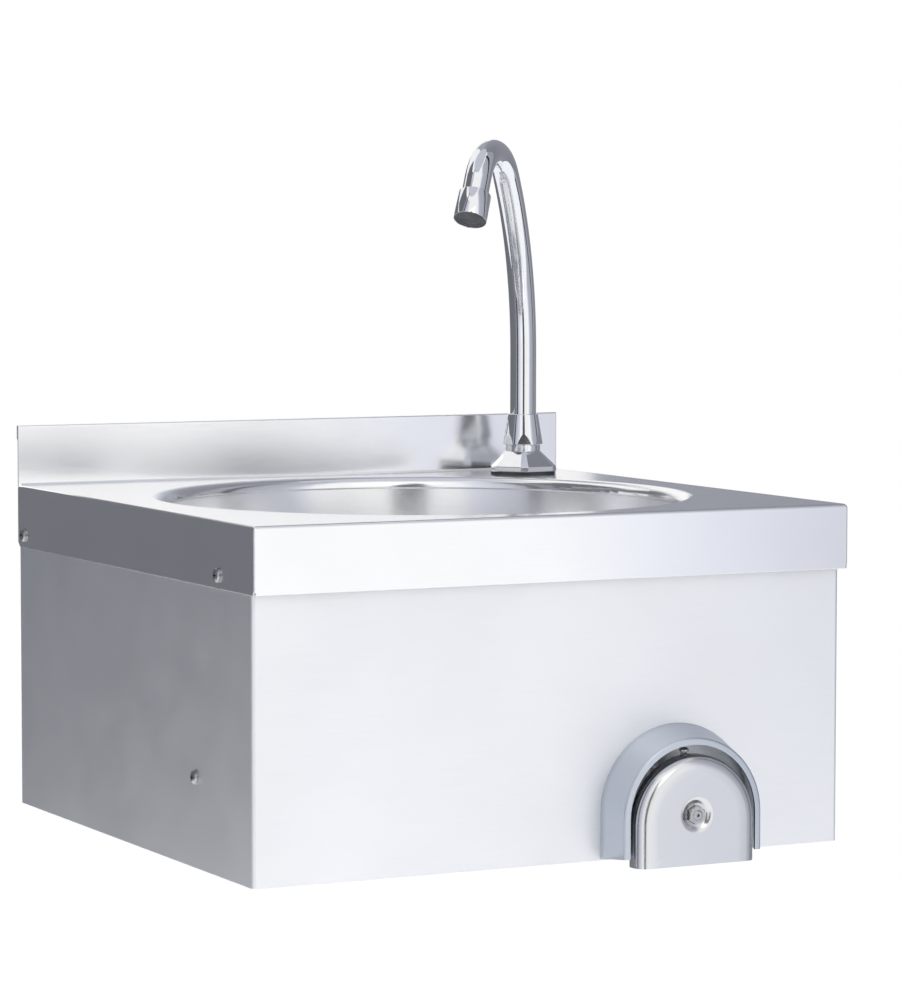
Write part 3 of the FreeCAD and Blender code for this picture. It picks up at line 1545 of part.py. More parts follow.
def check_and_write():
    """Stops on any broken object, then writes each sub-part to its own file."""
    doc.recompute()
    for thing in doc.Objects:
        if "Invalid" in thing.State or "Error" in thing.State:
            raise ValueError("%s is broken: %s" % (thing.Name, thing.State))
    for part in parts:
        if part.Shape.isNull() or not part.Shape.isValid():
            raise ValueError(part.Label + " has no sound shape")
    os.makedirs("parts", exist_ok=True)
    for part in parts:
        part.Shape.exportStep("parts/" + part.Label + ".step")
        print("%-18s %12.1f mm3  %d solids" % (part.Label, part.Shape.Volume, len(part.Shape.Solids)))


fill_sheet()
build()
check_and_write()
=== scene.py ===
import math

import bmesh
import bpy
from mathutils import Euler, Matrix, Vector


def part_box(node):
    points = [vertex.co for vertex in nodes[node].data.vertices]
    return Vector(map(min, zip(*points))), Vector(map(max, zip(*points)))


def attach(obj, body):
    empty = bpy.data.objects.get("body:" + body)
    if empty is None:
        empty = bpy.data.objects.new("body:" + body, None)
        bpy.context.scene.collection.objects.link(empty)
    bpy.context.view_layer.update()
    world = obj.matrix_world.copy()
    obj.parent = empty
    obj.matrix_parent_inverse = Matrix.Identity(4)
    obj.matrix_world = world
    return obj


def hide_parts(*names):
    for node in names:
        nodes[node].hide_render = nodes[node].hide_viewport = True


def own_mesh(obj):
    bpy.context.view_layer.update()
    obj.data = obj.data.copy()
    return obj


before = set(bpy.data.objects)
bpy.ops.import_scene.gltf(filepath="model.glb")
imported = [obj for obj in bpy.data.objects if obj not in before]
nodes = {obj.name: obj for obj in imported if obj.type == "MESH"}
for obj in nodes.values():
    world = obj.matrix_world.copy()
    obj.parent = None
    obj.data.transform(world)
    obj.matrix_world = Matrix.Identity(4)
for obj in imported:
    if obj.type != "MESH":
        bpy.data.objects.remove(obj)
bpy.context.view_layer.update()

# Places in metres, in the part's own frame: the wall is y = 0 and the front faces -Y.
MIDDLE = (0.0, -0.2, 0.05)
BOWL_AXIS = (0.0, -0.193)
ARCH_CENTRE = (0.082, -0.059)
TAP_FOOT = (0.1535, -0.0405, 0.125)
SPOUT_TIP = (0.070763, -0.121805, 0.298422)
SPOUT_UP = (0.36414, 0.35784, 0.85985)
FLOOR_HEIGHT = -0.75
MILLIMETRE = 0.001

# Sizes of the pieces made here are in millimetres, and their angles in degrees.
CASING_LOW = -85.0
PANEL = -373.0
ARCH_X = 82.0
PAD_FACE = -402.0
PAD_MIDDLE, PAD_LOW = CASING_LOW + 22.7, CASING_LOW - 2.4
PAD_ARCH_STEPS = 40
STUD = (80.5, PAD_FACE, -57.0)
TAP_TURN, TAP_CORNER_CUT = 5, 6.2

GRAIN_X, GRAIN_Y, GRAIN_Z = (1, 0, 0), (0, 1, 0), (0, 0, 1)
LINE_STRETCH = 0.04              # how much a brushed pattern is squeezed along its lines
ROUND_STRETCH = 0.008            # the same for lines round an axis, in metres for each radian
SIDE_LIMIT = 0.7                 # a face whose normal leans further than this to X is a side face
PAINTED_GAP_SHADE = 16 * MILLIMETRE      # how wide a gap may be and still get painted shade inside


# ---------------------------------------------------------------- shader nodes

class Shader:
    """A material's node tree with short calls for the nodes that the surfaces use."""

    def __init__(self, name, colour, metallic, roughness):
        self.material = bpy.data.materials.new(name)
        self.material.use_nodes = True
        self.material.diffuse_color = (*colour, 1)
        self.tree = self.material.node_tree
        self.surface = self.tree.nodes["Principled BSDF"]
        self.surface.inputs["Base Color"].default_value = (*colour, 1)
        self.surface.inputs["Metallic"].default_value = metallic
        self.surface.inputs["Roughness"].default_value = roughness

    def node(self, kind, **settings):
        """Adds a node and sets its own properties."""
        made = self.tree.nodes.new(kind)
        for name, value in settings.items():
            setattr(made, name, value)
        return made

    def feed(self, socket, value):
        """Links an output to a socket, or writes a plain value in it."""
        if isinstance(value, bpy.types.NodeSocket):
            self.tree.links.new(value, socket)
        else:
            socket.default_value = value

    def math(self, operation, first, second=0.0):
        """One step of arithmetic."""
        made = self.node("ShaderNodeMath", operation=operation)
        self.feed(made.inputs[0], first)
        self.feed(made.inputs[1], second)
        return made.outputs[0]

    def vector(self, operation, first, second=(0, 0, 0)):
        """One step of vector arithmetic."""
        made = self.node("ShaderNodeVectorMath", operation=operation)
        self.feed(made.inputs[0], first)
        self.feed(made.inputs[1], second)
        return made.outputs["Vector"]

    def place(self):
        """A point of the piece at rest, in the part's frame."""
        return self.node("ShaderNodeTexCoord").outputs["Object"]

    def normal(self):
        """The surface's normal."""
        return self.node("ShaderNodeNewGeometry").outputs["Normal"]

    def noise(self, where, scale, detail=3.0, roughness=0.55, distortion=0.0):
        """A cloudy pattern from 0 to 1."""
        made = self.node("ShaderNodeTexNoise")
        self.feed(made.inputs["Vector"], where)
        made.inputs["Scale"].default_value = scale
        made.inputs["Detail"].default_value = detail
        made.inputs["Roughness"].default_value = roughness
        made.inputs["Distortion"].default_value = distortion
        return made.outputs["Fac"]

    def ranged(self, value, low, high, start=0.3, end=0.7):
        """Spreads a pattern between two numbers."""
        made = self.node("ShaderNodeMapRange")
        for name, number in (("From Min", start), ("From Max", end), ("To Min", low), ("To Max", high)):
            made.inputs[name].default_value = number
        self.feed(made.inputs["Value"], value)
        return made.outputs["Result"]

    def blend(self, kind, share, first, second):
        """Blends two colours or two vectors; kind is Color or Vector."""
        made = self.node("ShaderNodeMix", data_type="RGBA" if kind == "Color" else "VECTOR")
        ends = {socket.identifier: socket for socket in (*made.inputs, *made.outputs)}
        self.feed(ends["Factor_Float"], share)
        self.feed(ends["A_" + kind], first)
        self.feed(ends["B_" + kind], second)
        return ends["Result_" + kind]

    def mix(self, share, first, second):
        """Blends two colours, each a plain one or an output."""
        first, second = [value if isinstance(value, bpy.types.NodeSocket) else (*value, 1)
                         for value in (first, second)]
        return self.blend("Color", share, first, second)

    def bump(self, height, distance, under=None):
        """Raises the surface by a pattern; distance is its depth in metres."""
        made = self.node("ShaderNodeBump")
        made.inputs["Strength"].default_value = 1.0
        made.inputs["Distance"].default_value = distance
        self.feed(made.inputs["Height"], height)
        if under is not None:
            self.feed(made.inputs["Normal"], under)
        return made.outputs["Normal"]

    def corner(self, reach):
        """How open a spot is: near 0 in a tight corner, 1 on a free surface."""
        occlusion = self.node("ShaderNodeAmbientOcclusion", samples=8)
        self.feed(occlusion.inputs["Distance"], reach)
        return occlusion.outputs["AO"]

    def soft_edges(self, radius):
        """A normal that rounds sharp edges by a small radius."""
        made = self.node("ShaderNodeBevel", samples=6)
        made.inputs["Radius"].default_value = radius
        return made.outputs["Normal"]

    def set(self, name, value):
        """Feeds one input of the surface."""
        self.feed(self.surface.inputs[name], value)


def tone(colour, share):
    """The colour made lighter or darker."""
    return tuple(min(1.0, part * share) for part in colour)


# ---------------------------------------------------------------- steel

def stretched(shader, where, direction):
    """Coordinates that draw a pattern out along one direction."""
    return shader.vector("MULTIPLY", where, tuple(LINE_STRETCH if part else 1.0 for part in direction))


def sheet_grain(shader, side_direction, front_direction=GRAIN_X):
    """Brush lines: their direction on each face, and coordinates stretched along them."""
    where = shader.place()
    split = shader.node("ShaderNodeSeparateXYZ")
    shader.feed(split.inputs[0], shader.normal())
    sideways = shader.math("GREATER_THAN", shader.math("ABSOLUTE", split.outputs[0]), SIDE_LIMIT)
    front_lines = stretched(shader, where, front_direction)
    side_lines = stretched(shader, where, side_direction)
    lines = shader.blend("Vector", sideways, front_lines, side_lines)
    return lines, shader.blend("Vector", sideways, front_direction, side_direction)


def round_grain(shader, centre, axis):
    """Brush lines that run round an axis, and coordinates that follow them."""
    where = shader.place()
    arm = shader.vector("SUBTRACT", where, centre)
    direction = shader.vector("NORMALIZE", shader.vector("CROSS_PRODUCT", axis, arm))
    split = shader.node("ShaderNodeSeparateXYZ")
    shader.feed(split.inputs[0], arm)
    across = [split.outputs[index] for index in range(3) if not axis[index]]
    along = [split.outputs[index] for index in range(3) if axis[index]][0]
    squares = [shader.math("POWER", part, 2.0) for part in across]
    distance = shader.math("SQRT", shader.math("ADD", *squares))
    angle = shader.math("ARCTAN2", across[1], across[0])
    join = shader.node("ShaderNodeCombineXYZ")
    shader.feed(join.inputs[0], shader.math("MULTIPLY", angle, ROUND_STRETCH))
    shader.feed(join.inputs[1], distance)
    shader.feed(join.inputs[2], along)
    return join.outputs[0], direction


def brushed(name, colour, lines, roughness, stretch, wear=0.025, edge=0.0, grain=1.0, shade=0.0):
    """Satin sheet steel: drawn-out lines in tone, gloss and relief, with soft clouds and faint smudges.

    edge rounds the sheet's corners and shade paints shade into its gaps, both by a reach in metres.
    """
    line_tone, line_shade = 0.07 * grain, tone(colour, 0.8)
    line_depth, cloud_depth = 0.0004 * MILLIMETRE * grain, 0.015 * MILLIMETRE
    shader = Shader(name, colour, metallic=1.0, roughness=roughness)
    where, direction = lines(shader)
    streaks = shader.noise(where, scale=900, detail=5, roughness=0.6)
    clouds = shader.noise(shader.place(), scale=9, detail=2)
    smudges = shader.noise(shader.place(), scale=34, detail=4, distortion=0.6)
    patches = shader.mix(shader.ranged(clouds, 0, 1), tone(colour, 1 - wear), tone(colour, 1 + wear))
    drawn = shader.mix(shader.ranged(streaks, 0, line_tone), patches, line_shade)
    # Painted shade: an ambient occlusion node turns the colour towards near-black in tight gaps.
    if shade:
        painted_shade_openness = shader.ranged(shader.corner(shade), 0, 1, start=0.35, end=0.7)
        drawn = shader.mix(painted_shade_openness, tone(colour, 0.12), drawn)
    shader.set("Base Color", drawn)
    shine = shader.ranged(smudges, roughness * 0.94, roughness * 1.06)
    shine = shader.math("ADD", shine, shader.ranged(streaks, -0.015 * grain, 0.025 * grain))
    shader.set("Roughness", shine)
    shader.set("Anisotropic", stretch)
    shader.set("Tangent", shader.vector("CROSS_PRODUCT", shader.normal(), direction))
    under = shader.soft_edges(edge) if edge else None
    relief = shader.bump(streaks, line_depth, under=under)
    shader.set("Normal", shader.bump(clouds, cloud_depth, under=relief))
    return shader.material


def deck_steel():
    """The deck's sheet: lines run across the top and front, and upright on the folded side aprons."""
    return brushed("deck_steel", (0.94, 0.94, 0.945),
                   lambda shader: sheet_grain(shader, GRAIN_Z), roughness=0.17, stretch=0.3, edge=0.0007)


def casing_steel():
    """The casing's sheet: lines run level all the way round."""
    return brushed("casing_steel", (0.93, 0.935, 0.95),
                   lambda shader: sheet_grain(shader, GRAIN_Y), roughness=0.46, stretch=0.4, edge=0.0005)


def bowl_steel():
    """The drawn bowl, polished round its axis."""
    centre = (*BOWL_AXIS, 0.0)
    return brushed("bowl_steel", (0.985, 0.985, 0.99),
                   lambda shader: round_grain(shader, centre, GRAIN_Z), roughness=0.21, stretch=0.35)


def collar_steel():
    """The collar's bent strip, brushed along its arch, with painted shade where it runs close to other
    parts.
    """
    centre = (ARCH_CENTRE[0], 0.0, ARCH_CENTRE[1])
    return brushed("collar_steel", (0.61, 0.65, 0.71),
                   lambda shader: round_grain(shader, centre, GRAIN_Y), roughness=0.34, stretch=0.4,
                   shade=PAINTED_GAP_SHADE)


def pad_steel():
    """The pressed pad, rubbed bright by use, with painted shade where it runs close to other parts."""
    return brushed("pad_steel", (0.76, 0.765, 0.77),
                   lambda shader: sheet_grain(shader, GRAIN_Z, GRAIN_Z), roughness=0.19,
                   stretch=0.1, wear=0.05, grain=0.2, shade=PAINTED_GAP_SHADE)


def bracket_steel():
    """Inner brackets of the same sheet."""
    return brushed("bracket_steel", (0.68, 0.69, 0.70),
                   lambda shader: sheet_grain(shader, GRAIN_Y), roughness=0.38, stretch=0.3, edge=0.0003)


def fastener_steel():
    """Small bright fasteners, with turned marks and painted shade in their corners."""
    colour = (0.58, 0.585, 0.595)
    shader = Shader("fastener_steel", colour, metallic=1.0, roughness=0.22)
    marks = shader.noise(shader.place(), scale=1400, detail=4)
    grime = shader.noise(shader.place(), scale=260, detail=3)
    dulled = shader.mix(shader.ranged(grime, 0, 0.5), colour, tone(colour, 0.62))
    # Painted shade: an ambient occlusion node turns the colour towards near-black in tight corners.
    painted_shade_openness = shader.corner(2.5 * MILLIMETRE)
    shader.set("Base Color", shader.mix(painted_shade_openness, tone(colour, 0.08), dulled))
    shader.set("Roughness", shader.ranged(marks, 0.16, 0.34))
    rounded = shader.soft_edges(0.15 * MILLIMETRE)
    shader.set("Normal", shader.bump(marks, 0.01 * MILLIMETRE, under=rounded))
    return shader.material


# ---------------------------------------------------------------- other metals

def chrome():
    """Polished plate: nearly a mirror, with faint water marks and a soft waviness from the casting."""
    colour = (0.87, 0.88, 0.895)
    shader = Shader("chrome", colour, metallic=1.0, roughness=0.05)
    marks = shader.noise(shader.place(), scale=120, detail=4)
    waves = shader.noise(shader.place(), scale=26, detail=1)
    shader.set("Base Color", shader.mix(shader.ranged(marks, 0, 0.5), colour, tone(colour, 0.93)))
    shader.set("Roughness", shader.ranged(marks, 0.025, 0.09))
    rounded = shader.soft_edges(0.35 * MILLIMETRE)
    shader.set("Normal", shader.bump(waves, 0.12 * MILLIMETRE, under=rounded))
    return shader.material


def brass():
    """Machined brass, dulled in patches, with fine tool marks."""
    colour = (0.74, 0.56, 0.27)
    shader = Shader("brass", colour, metallic=1.0, roughness=0.3)
    patches = shader.noise(shader.place(), scale=60, detail=4)
    marks = shader.noise(shader.place(), scale=1200, detail=3)
    shader.set("Base Color", shader.mix(shader.ranged(patches, 0, 0.6), colour, (0.42, 0.30, 0.16)))
    shader.set("Roughness", shader.ranged(patches, 0.24, 0.46))
    rounded = shader.soft_edges(0.25 * MILLIMETRE)
    shader.set("Normal", shader.bump(marks, 0.015 * MILLIMETRE, under=rounded))
    return shader.material


def copper():
    """Drawn copper pipe with darker handling marks."""
    colour = (0.80, 0.43, 0.29)
    shader = Shader("copper", colour, metallic=1.0, roughness=0.28)
    patches = shader.noise(shader.place(), scale=38, detail=5, distortion=0.8)
    shader.set("Base Color", shader.mix(shader.ranged(patches, 0, 0.7), colour, (0.43, 0.22, 0.16)))
    shader.set("Roughness", shader.ranged(patches, 0.2, 0.42))
    shader.set("Normal", shader.bump(patches, 0.05 * MILLIMETRE))
    return shader.material


# ---------------------------------------------------------------- rubber and plastic

DUST = (0.5, 0.5, 0.5)


def moulded(name, colour, roughness, grain, depth, dust):
    """A moulded surface with a fine grain and a paler bloom in patches."""
    shader = Shader(name, colour, metallic=0.0, roughness=roughness)
    specks = shader.noise(shader.place(), scale=grain, detail=4)
    bloom = shader.noise(shader.place(), scale=70, detail=3)
    shader.set("Base Color", shader.mix(shader.ranged(bloom, 0, dust), colour, DUST))
    shader.set("Roughness", shader.ranged(specks, roughness - 0.08, roughness + 0.1))
    rounded = shader.soft_edges(0.2 * MILLIMETRE)
    shader.set("Normal", shader.bump(specks, depth, under=rounded))
    return shader.material


def rubber():
    """Black washers and gaskets."""
    return moulded("rubber", (0.022, 0.022, 0.024), roughness=0.55, grain=1100,
                    depth=0.02 * MILLIMETRE, dust=0.08)


def waste_plastic():
    """The pale grey waste."""
    return moulded("waste_plastic", (0.74, 0.745, 0.74), roughness=0.42, grain=700,
                    depth=0.015 * MILLIMETRE, dust=0.25)


def mesh_plastic():
    """The dark insert behind the aerator's mesh."""
    return moulded("mesh_plastic", (0.05, 0.052, 0.058), roughness=0.5, grain=900,
                    depth=0.015 * MILLIMETRE, dust=0.2)


# ---------------------------------------------------------------- pieces made here

def add_piece(name, mesh, material, body):
    """Puts a new mesh in the scene on one body."""
    piece = bpy.data.objects.new(name, mesh)
    bpy.context.scene.collection.objects.link(piece)
    mesh.materials.append(material)
    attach(piece, body)
    return piece


def stitch(made, before, after, round_shut):
    """Faces between two rows of corners, each of which may close on itself."""
    for side in range(len(before) if round_shut else len(before) - 1):
        following = (side + 1) % len(before)
        made.faces.new((before[side], before[following], after[following], after[side]))


def smooth_mesh(made, name):
    """Ends the work on a mesh whose faces are shaded smooth."""
    for face in made.faces:
        face.smooth = True
    mesh = bpy.data.meshes.new(name)
    made.to_mesh(mesh)
    made.free()
    return mesh


def mesh_from(name, rows, round_shut, ends, sharp=35):
    """A mesh through rows of points. Each row may close on itself, and the ends may be joined or capped.

    Edges sharper than the angle sharp are left crisp.
    """
    made = bmesh.new()
    loops = [[made.verts.new(point) for point in row] for row in rows]
    for before, after in zip(loops, loops[1:]):
        stitch(made, before, after, round_shut)
    if ends == "joined":
        stitch(made, loops[-1], loops[0], round_shut)
    if ends == "capped":
        made.faces.new(loops[0])
        made.faces.new(list(reversed(loops[-1])))
    bmesh.ops.recalc_face_normals(made, faces=made.faces)
    mesh = smooth_mesh(made, name)
    mesh.set_sharp_from_angle(angle=math.radians(sharp))
    return mesh


def turned_rows(profile, origin, up, angles):
    """Rings round an axis: each step of the profile is a height and a radius, which may vary by angle."""
    up = Vector(up).normalized()
    side = up.orthogonal().normalized() if abs(up.z) < 1 else Vector((1, 0, 0))
    other = up.cross(side)
    rows = []
    for height, radius in profile:
        row = []
        for angle in angles:
            turn = math.radians(angle)
            reach = radius(angle) if callable(radius) else radius
            out = side * math.cos(turn) + other * math.sin(turn)
            row.append(Vector(origin) + (up * height + out * reach) * MILLIMETRE)
        rows.append(row)
    return rows


def even_angles(count):
    """Angles all round in even steps."""
    return [360 * index / count for index in range(count)]


def thread(low, high, root, crest, pitch):
    """Profile of a screw thread between two heights."""
    steps = []
    for index in range(int((high - low) / pitch)):
        start = low + index * pitch
        steps += [(start, root), (start + 0.4 * pitch, crest), (start + 0.55 * pitch, crest)]
    steps.append((high, root))
    return steps


def cosine(angle):
    """Cosine of an angle in degrees."""
    return math.cos(math.radians(angle))


def from_corner(angle, turn):
    """How far an angle is from a hexagon's nearest corner, at most half a side either way."""
    return (angle - turn + 30) % 60 - 30


def cut_hexagon(corner_radius):
    """Radius at each angle of a hexagon whose corners are cut to narrow flats."""
    def reach(angle):
        off = from_corner(angle, TAP_TURN)
        if abs(off) <= TAP_CORNER_CUT:
            return corner_radius * cosine(TAP_CORNER_CUT) / cosine(off)
        return corner_radius * cosine(30 - TAP_CORNER_CUT) / cosine(30 - abs(off))
    return reach


def tap_casting(material):
    """The tap's body with a six-sided foot whose corners are cut, a round neck and a threaded shank."""
    shank_low, shank_top, shank_root, shank_crest, pitch = -48, -2, 9.7, 10.46, 1.814
    water_bore, socket_bore, socket_floor, top = 5, 7.55, 21, 35.9
    offsets = (-TAP_CORNER_CUT, -2, 2, TAP_CORNER_CUT, 12, 18, 24, 30, 36, 42, 48)
    angles = [TAP_TURN + 60 * corner + offset for corner in range(6) for offset in offsets]
    foot = [(-0.2, 10.48), (2, 10.48), (2, cut_hexagon(24.0)), (2.4, cut_hexagon(24.4)),
            (5.1, cut_hexagon(24.4)), (5.5, cut_hexagon(24.2)), (15.1, cut_hexagon(13.2)),
            (15.4, cut_hexagon(12.8))]
    neck = [(15.4, 11.5), (15.7, 11.8), (19.6, 11.8), (19.9, 11.5), (19.9, 9.9), (top, 9.9)]
    inside = [(top, socket_bore), (socket_floor, socket_bore), (socket_floor, water_bore),
              (shank_low, water_bore)]
    profile = thread(shank_low, shank_top, shank_root, shank_crest, pitch) + foot + neck + inside
    rows = turned_rows(profile, TAP_FOOT, (0, 0, 1), angles)
    mesh = mesh_from("tap_casting", rows, round_shut=True, ends="joined", sharp=12)
    piece = add_piece("tap_casting", mesh, material, "sink")
    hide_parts("tap_body")


def cone_nut(material):
    """The spout's tapered nut: a cone whose foot is cut to six flats, which end in arches."""
    foot, crown, height, flats, turn = 13.6, 10.25, 21.0, 24.9, 8
    seat, top, lip_floor = 19.95, 40.85, 37.5
    neck_bore, tube_bore, chamfer = 10.0, 9.05, 0.3
    steps = 42

    def reach(rise):
        cone = foot + (crown - foot) * rise / height
        return lambda angle: min(cone, flats / 2 / cosine(from_corner(angle, turn)))

    rises = [chamfer + (height - 0.7) * index / steps for index in range(steps + 1)]
    profile = [(seat, neck_bore), (seat, lambda angle: reach(0)(angle) - 0.4)]
    profile += [(seat + rise, reach(rise)) for rise in rises]
    profile += [(top, 9.95), (top, tube_bore), (lip_floor, tube_bore), (lip_floor, neck_bore)]
    rows = turned_rows(profile, TAP_FOOT, (0, 0, 1), even_angles(144))
    mesh = mesh_from("cone_nut", rows, round_shut=True, ends="joined", sharp=14)
    piece = add_piece("cone_nut", mesh, material, "sink")
    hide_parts("spout_nut")


def aerator(chrome_material, dark_material):
    """The aerator: a plain barrel with a thin rim, and a dark insert whose flange fills its end."""
    angles = even_angles(72)
    lip, shoulder, top, bore, seat = 10.6, 11.0, 19.2, 9.04, 1.3
    barrel = [(0.45, lip), (0.1, 10.7), (0, 10.8), (0.05, 10.92), (0.25, shoulder), (18.8, shoulder),
              (19.1, 10.9), (top, 10.7), (top, bore), (seat, bore), (seat, lip)]
    rows = turned_rows(barrel, SPOUT_TIP, SPOUT_UP, angles)
    mesh = mesh_from("aerator_barrel", rows, round_shut=True, ends="joined")
    piece = add_piece("aerator_barrel", mesh, chrome_material, "spout")
    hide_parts("aerator_housing")
    core, body, flange, back = 0.5, 8.95, 10.55, 14.1
    insert = [(back, core), (back, body), (seat, body), (seat, flange), (0.55, flange), (0.4, 10.4),
              (0.4, 9.3), (0.6, 9.1), (0.6, 8.2), (0.45, 8.0), (0.45, 7.6), (0.75, 7.4), (0.75, core)]
    rows = turned_rows(insert, SPOUT_TIP, SPOUT_UP, angles)
    mesh = mesh_from("aerator_face", rows, round_shut=True, ends="capped")
    piece = add_piece("aerator_face", mesh, dark_material, "spout")
    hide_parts("aerator_insert")


def arch_row(x, z, radius, low, y, steps=28):
    """Points up the left side, over the arch and down the right side, in the plane y."""
    side_steps = 6
    left, right = x - radius, x + radius
    row = [(left, y, low + (z - low) * index / side_steps) for index in range(side_steps)]
    for index in range(steps + 1):
        angle = math.pi * (1 - index / steps)
        row.append((x + radius * math.cos(angle), y, z + radius * math.sin(angle)))
    row += [(right, y, z + (low - z) * (index + 1) / side_steps) for index in range(side_steps)]
    return [Vector(point) * MILLIMETRE for point in row]


def thicken(piece, thickness):
    """Gives a sheet its thickness, on the side away from its outer face."""
    solid = piece.modifiers.new("gauge", "SOLIDIFY")
    solid.thickness = thickness * MILLIMETRE
    solid.offset = -1
    solid.use_even_offset = True
    crisp = piece.modifiers.new("crisp_rim", "EDGE_SPLIT")
    crisp.split_angle = math.radians(50)


def arch_collar(material):
    """The collar round the pad: a flared arch whose front edge is rounded and turned in to a lip."""
    front, flare, depth, lip, edge, gauge = 47.7, 3.8, 22.4, 4.4, 1.6, 1.5
    middle, low = CASING_LOW + 26.3, CASING_LOW + 3
    middle_rise, low_drop = 2.6, 2
    edge_steps = 6
    rows = []
    for share in (0, 0.25, 0.5, 0.75, 1):
        rest = 1 - share
        rows.append(arch_row(ARCH_X, middle + middle_rise * rest, front + flare * rest,
                             low - low_drop * rest, PANEL - (depth - edge) * share))
    for index in range(1, edge_steps + 1):
        angle = math.pi / 2 * index / edge_steps
        rows.append(arch_row(ARCH_X, middle, front - edge + edge * math.cos(angle), low,
                             PANEL - depth + edge - edge * math.sin(angle)))
    rows.append(arch_row(ARCH_X, middle, front - lip, low, PANEL - depth))
    mesh = mesh_from("arch_collar", rows, round_shut=False, ends="open", sharp=50)
    piece = add_piece("arch_collar", mesh, material, "sink")
    thicken(piece, gauge)
    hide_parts("knee_collar")


def pad_row(radius, y):
    """One arch of the pad."""
    return arch_row(ARCH_X, PAD_MIDDLE, radius, PAD_LOW, y, PAD_ARCH_STEPS)


def dimple_rows(border):
    """Rings from the stud's hole to the pad's border, pressed in round the stud."""
    floor_reach, rim_reach, depth, ring_gap = 5.8, 11.3, 2.0, 0.5
    slope = [floor_reach + ring_gap * index for index in range(12)]
    axis = Vector(STUD) * MILLIMETRE
    rows = []
    for reach in (3.1, 4.5, *slope, 12):
        share = min(1.0, max(0.0, (rim_reach - reach) / (rim_reach - floor_reach)))
        sunk = depth * share ** 3 * (share * (6 * share - 15) + 10)
        rows.append([axis + ((point - axis).normalized() * reach + Vector((0, sunk, 0))) * MILLIMETRE
                     for point in border])
    ring = rows[-1]
    rows += [[near.lerp(far, share) for near, far in zip(ring, border)] for share in (0.25, 0.5, 0.75, 1)]
    return rows


def pressed_pad(material):
    """The knee pad: a D-shaped pressing with a broad soft edge and a dimple round its stud."""
    radius, soft, skirt, gauge = 41.0, 8.0, 12.0, 0.8
    soft_steps, bottom_steps = 10, 14
    border = pad_row(radius - soft, PAD_FACE)
    arch_count = len(border)
    start, end = border[-1], border[0]
    border += [start.lerp(end, index / bottom_steps) for index in range(1, bottom_steps)]
    skirt_rows = []
    for index in range(1, soft_steps + 1):
        angle = math.pi / 2 * index / soft_steps
        skirt_rows.append(pad_row(radius - soft + soft * math.sin(angle),
                                  PAD_FACE + soft - soft * math.cos(angle)))
    skirt_rows.append(pad_row(radius, PAD_FACE + skirt))
    made = bmesh.new()
    loops = [[made.verts.new(point) for point in row] for row in dimple_rows(border)]
    for before, after in zip(loops, loops[1:]):
        stitch(made, before, after, True)
    strips = [loops[-1][:arch_count]] + [[made.verts.new(point) for point in row] for row in skirt_rows]
    for before, after in zip(strips, strips[1:]):
        stitch(made, before, after, False)
    bmesh.ops.recalc_face_normals(made, faces=made.faces)
    # An open sheet has no inside, so the faces are turned over where none of them looks forward.
    if not any(face.normal.y < -0.9 for face in made.faces):
        bmesh.ops.reverse_faces(made, faces=made.faces)
    piece = add_piece("pressed_pad", smooth_mesh(made, "pressed_pad"), material, "knee_button")
    thicken(piece, gauge)
    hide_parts("knee_pad")


def coil(material):
    """The return spring as wound wire, closer in its middle."""
    low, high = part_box("return_spring")
    wire = 0.5 * MILLIMETRE
    crowding = 0.55
    radius = (high.x - low.x) / 2 - wire
    centre = ((high.x + low.x) / 2, (high.z + low.z) / 2)
    length = high.y - low.y - wire * 2
    turns, steps, sides = 6, 40, 12
    rings = []
    for index in range(turns * steps + 1):
        share = index / (turns * steps)
        rise = (share + 0.5 * math.sin(2 * math.pi * share) / math.pi * crowding) * length
        angle = 2 * math.pi * turns * share
        out = Vector((math.cos(angle), 0, math.sin(angle)))
        spot = Vector((centre[0], low.y + wire + rise, centre[1])) + out * radius
        ring = []
        for side in range(sides):
            turn = 2 * math.pi * side / sides
            ring.append(spot + (out * math.cos(turn) + Vector((0, math.sin(turn), 0))) * wire)
        rings.append(ring)
    mesh = mesh_from("return_spring_wire", rings, round_shut=True, ends="capped", sharp=60)
    piece = add_piece("return_spring_wire", mesh, material, "sink")
    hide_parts("return_spring")
    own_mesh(piece)


# ---------------------------------------------------------------- dressing the part

def dress():
    """Gives each solid its surface."""
    surfaces = {
        deck_steel(): ["top_deck"],
        casing_steel(): ["casing"],
        bowl_steel(): ["bowl", "waste_grid"],
        collar_steel(): ["knee_collar"],
        pad_steel(): ["knee_pad"],
        bracket_steel(): ["cross_brace", "guide_arm", "guide_strap"],
        fastener_steel(): ["apron_screws", "apron_nuts", "brace_screws", "brace_nuts", "pad_nut", "push_rod",
                           "guide_screw", "guide_lock_nut", "return_spring", "waste_screw"],
        chrome(): ["tap_body", "spout_nut", "spout_tube", "aerator_housing"],
        brass(): ["valve_body", "nose_nut", "inlet_connector", "inlet_lock_nut", "poppet",
                  "outlet_union_nut", "shank_union_nut", "tap_back_nut", "spout_tail"],
        copper(): ["feed_pipe"],
        rubber(): ["valve_gasket", "gland_ring", "seat_washer", "tap_gasket", "tap_washer", "spout_rings",
                   "aerator_washer", "waste_seal"],
        waste_plastic(): ["waste_body"],
        mesh_plastic(): ["aerator_insert"],
    }
    for material, names in surfaces.items():
        for name in names:
            slots = nodes[name].data.materials
            slots.clear()
            slots.append(material)


# ---------------------------------------------------------------- studio

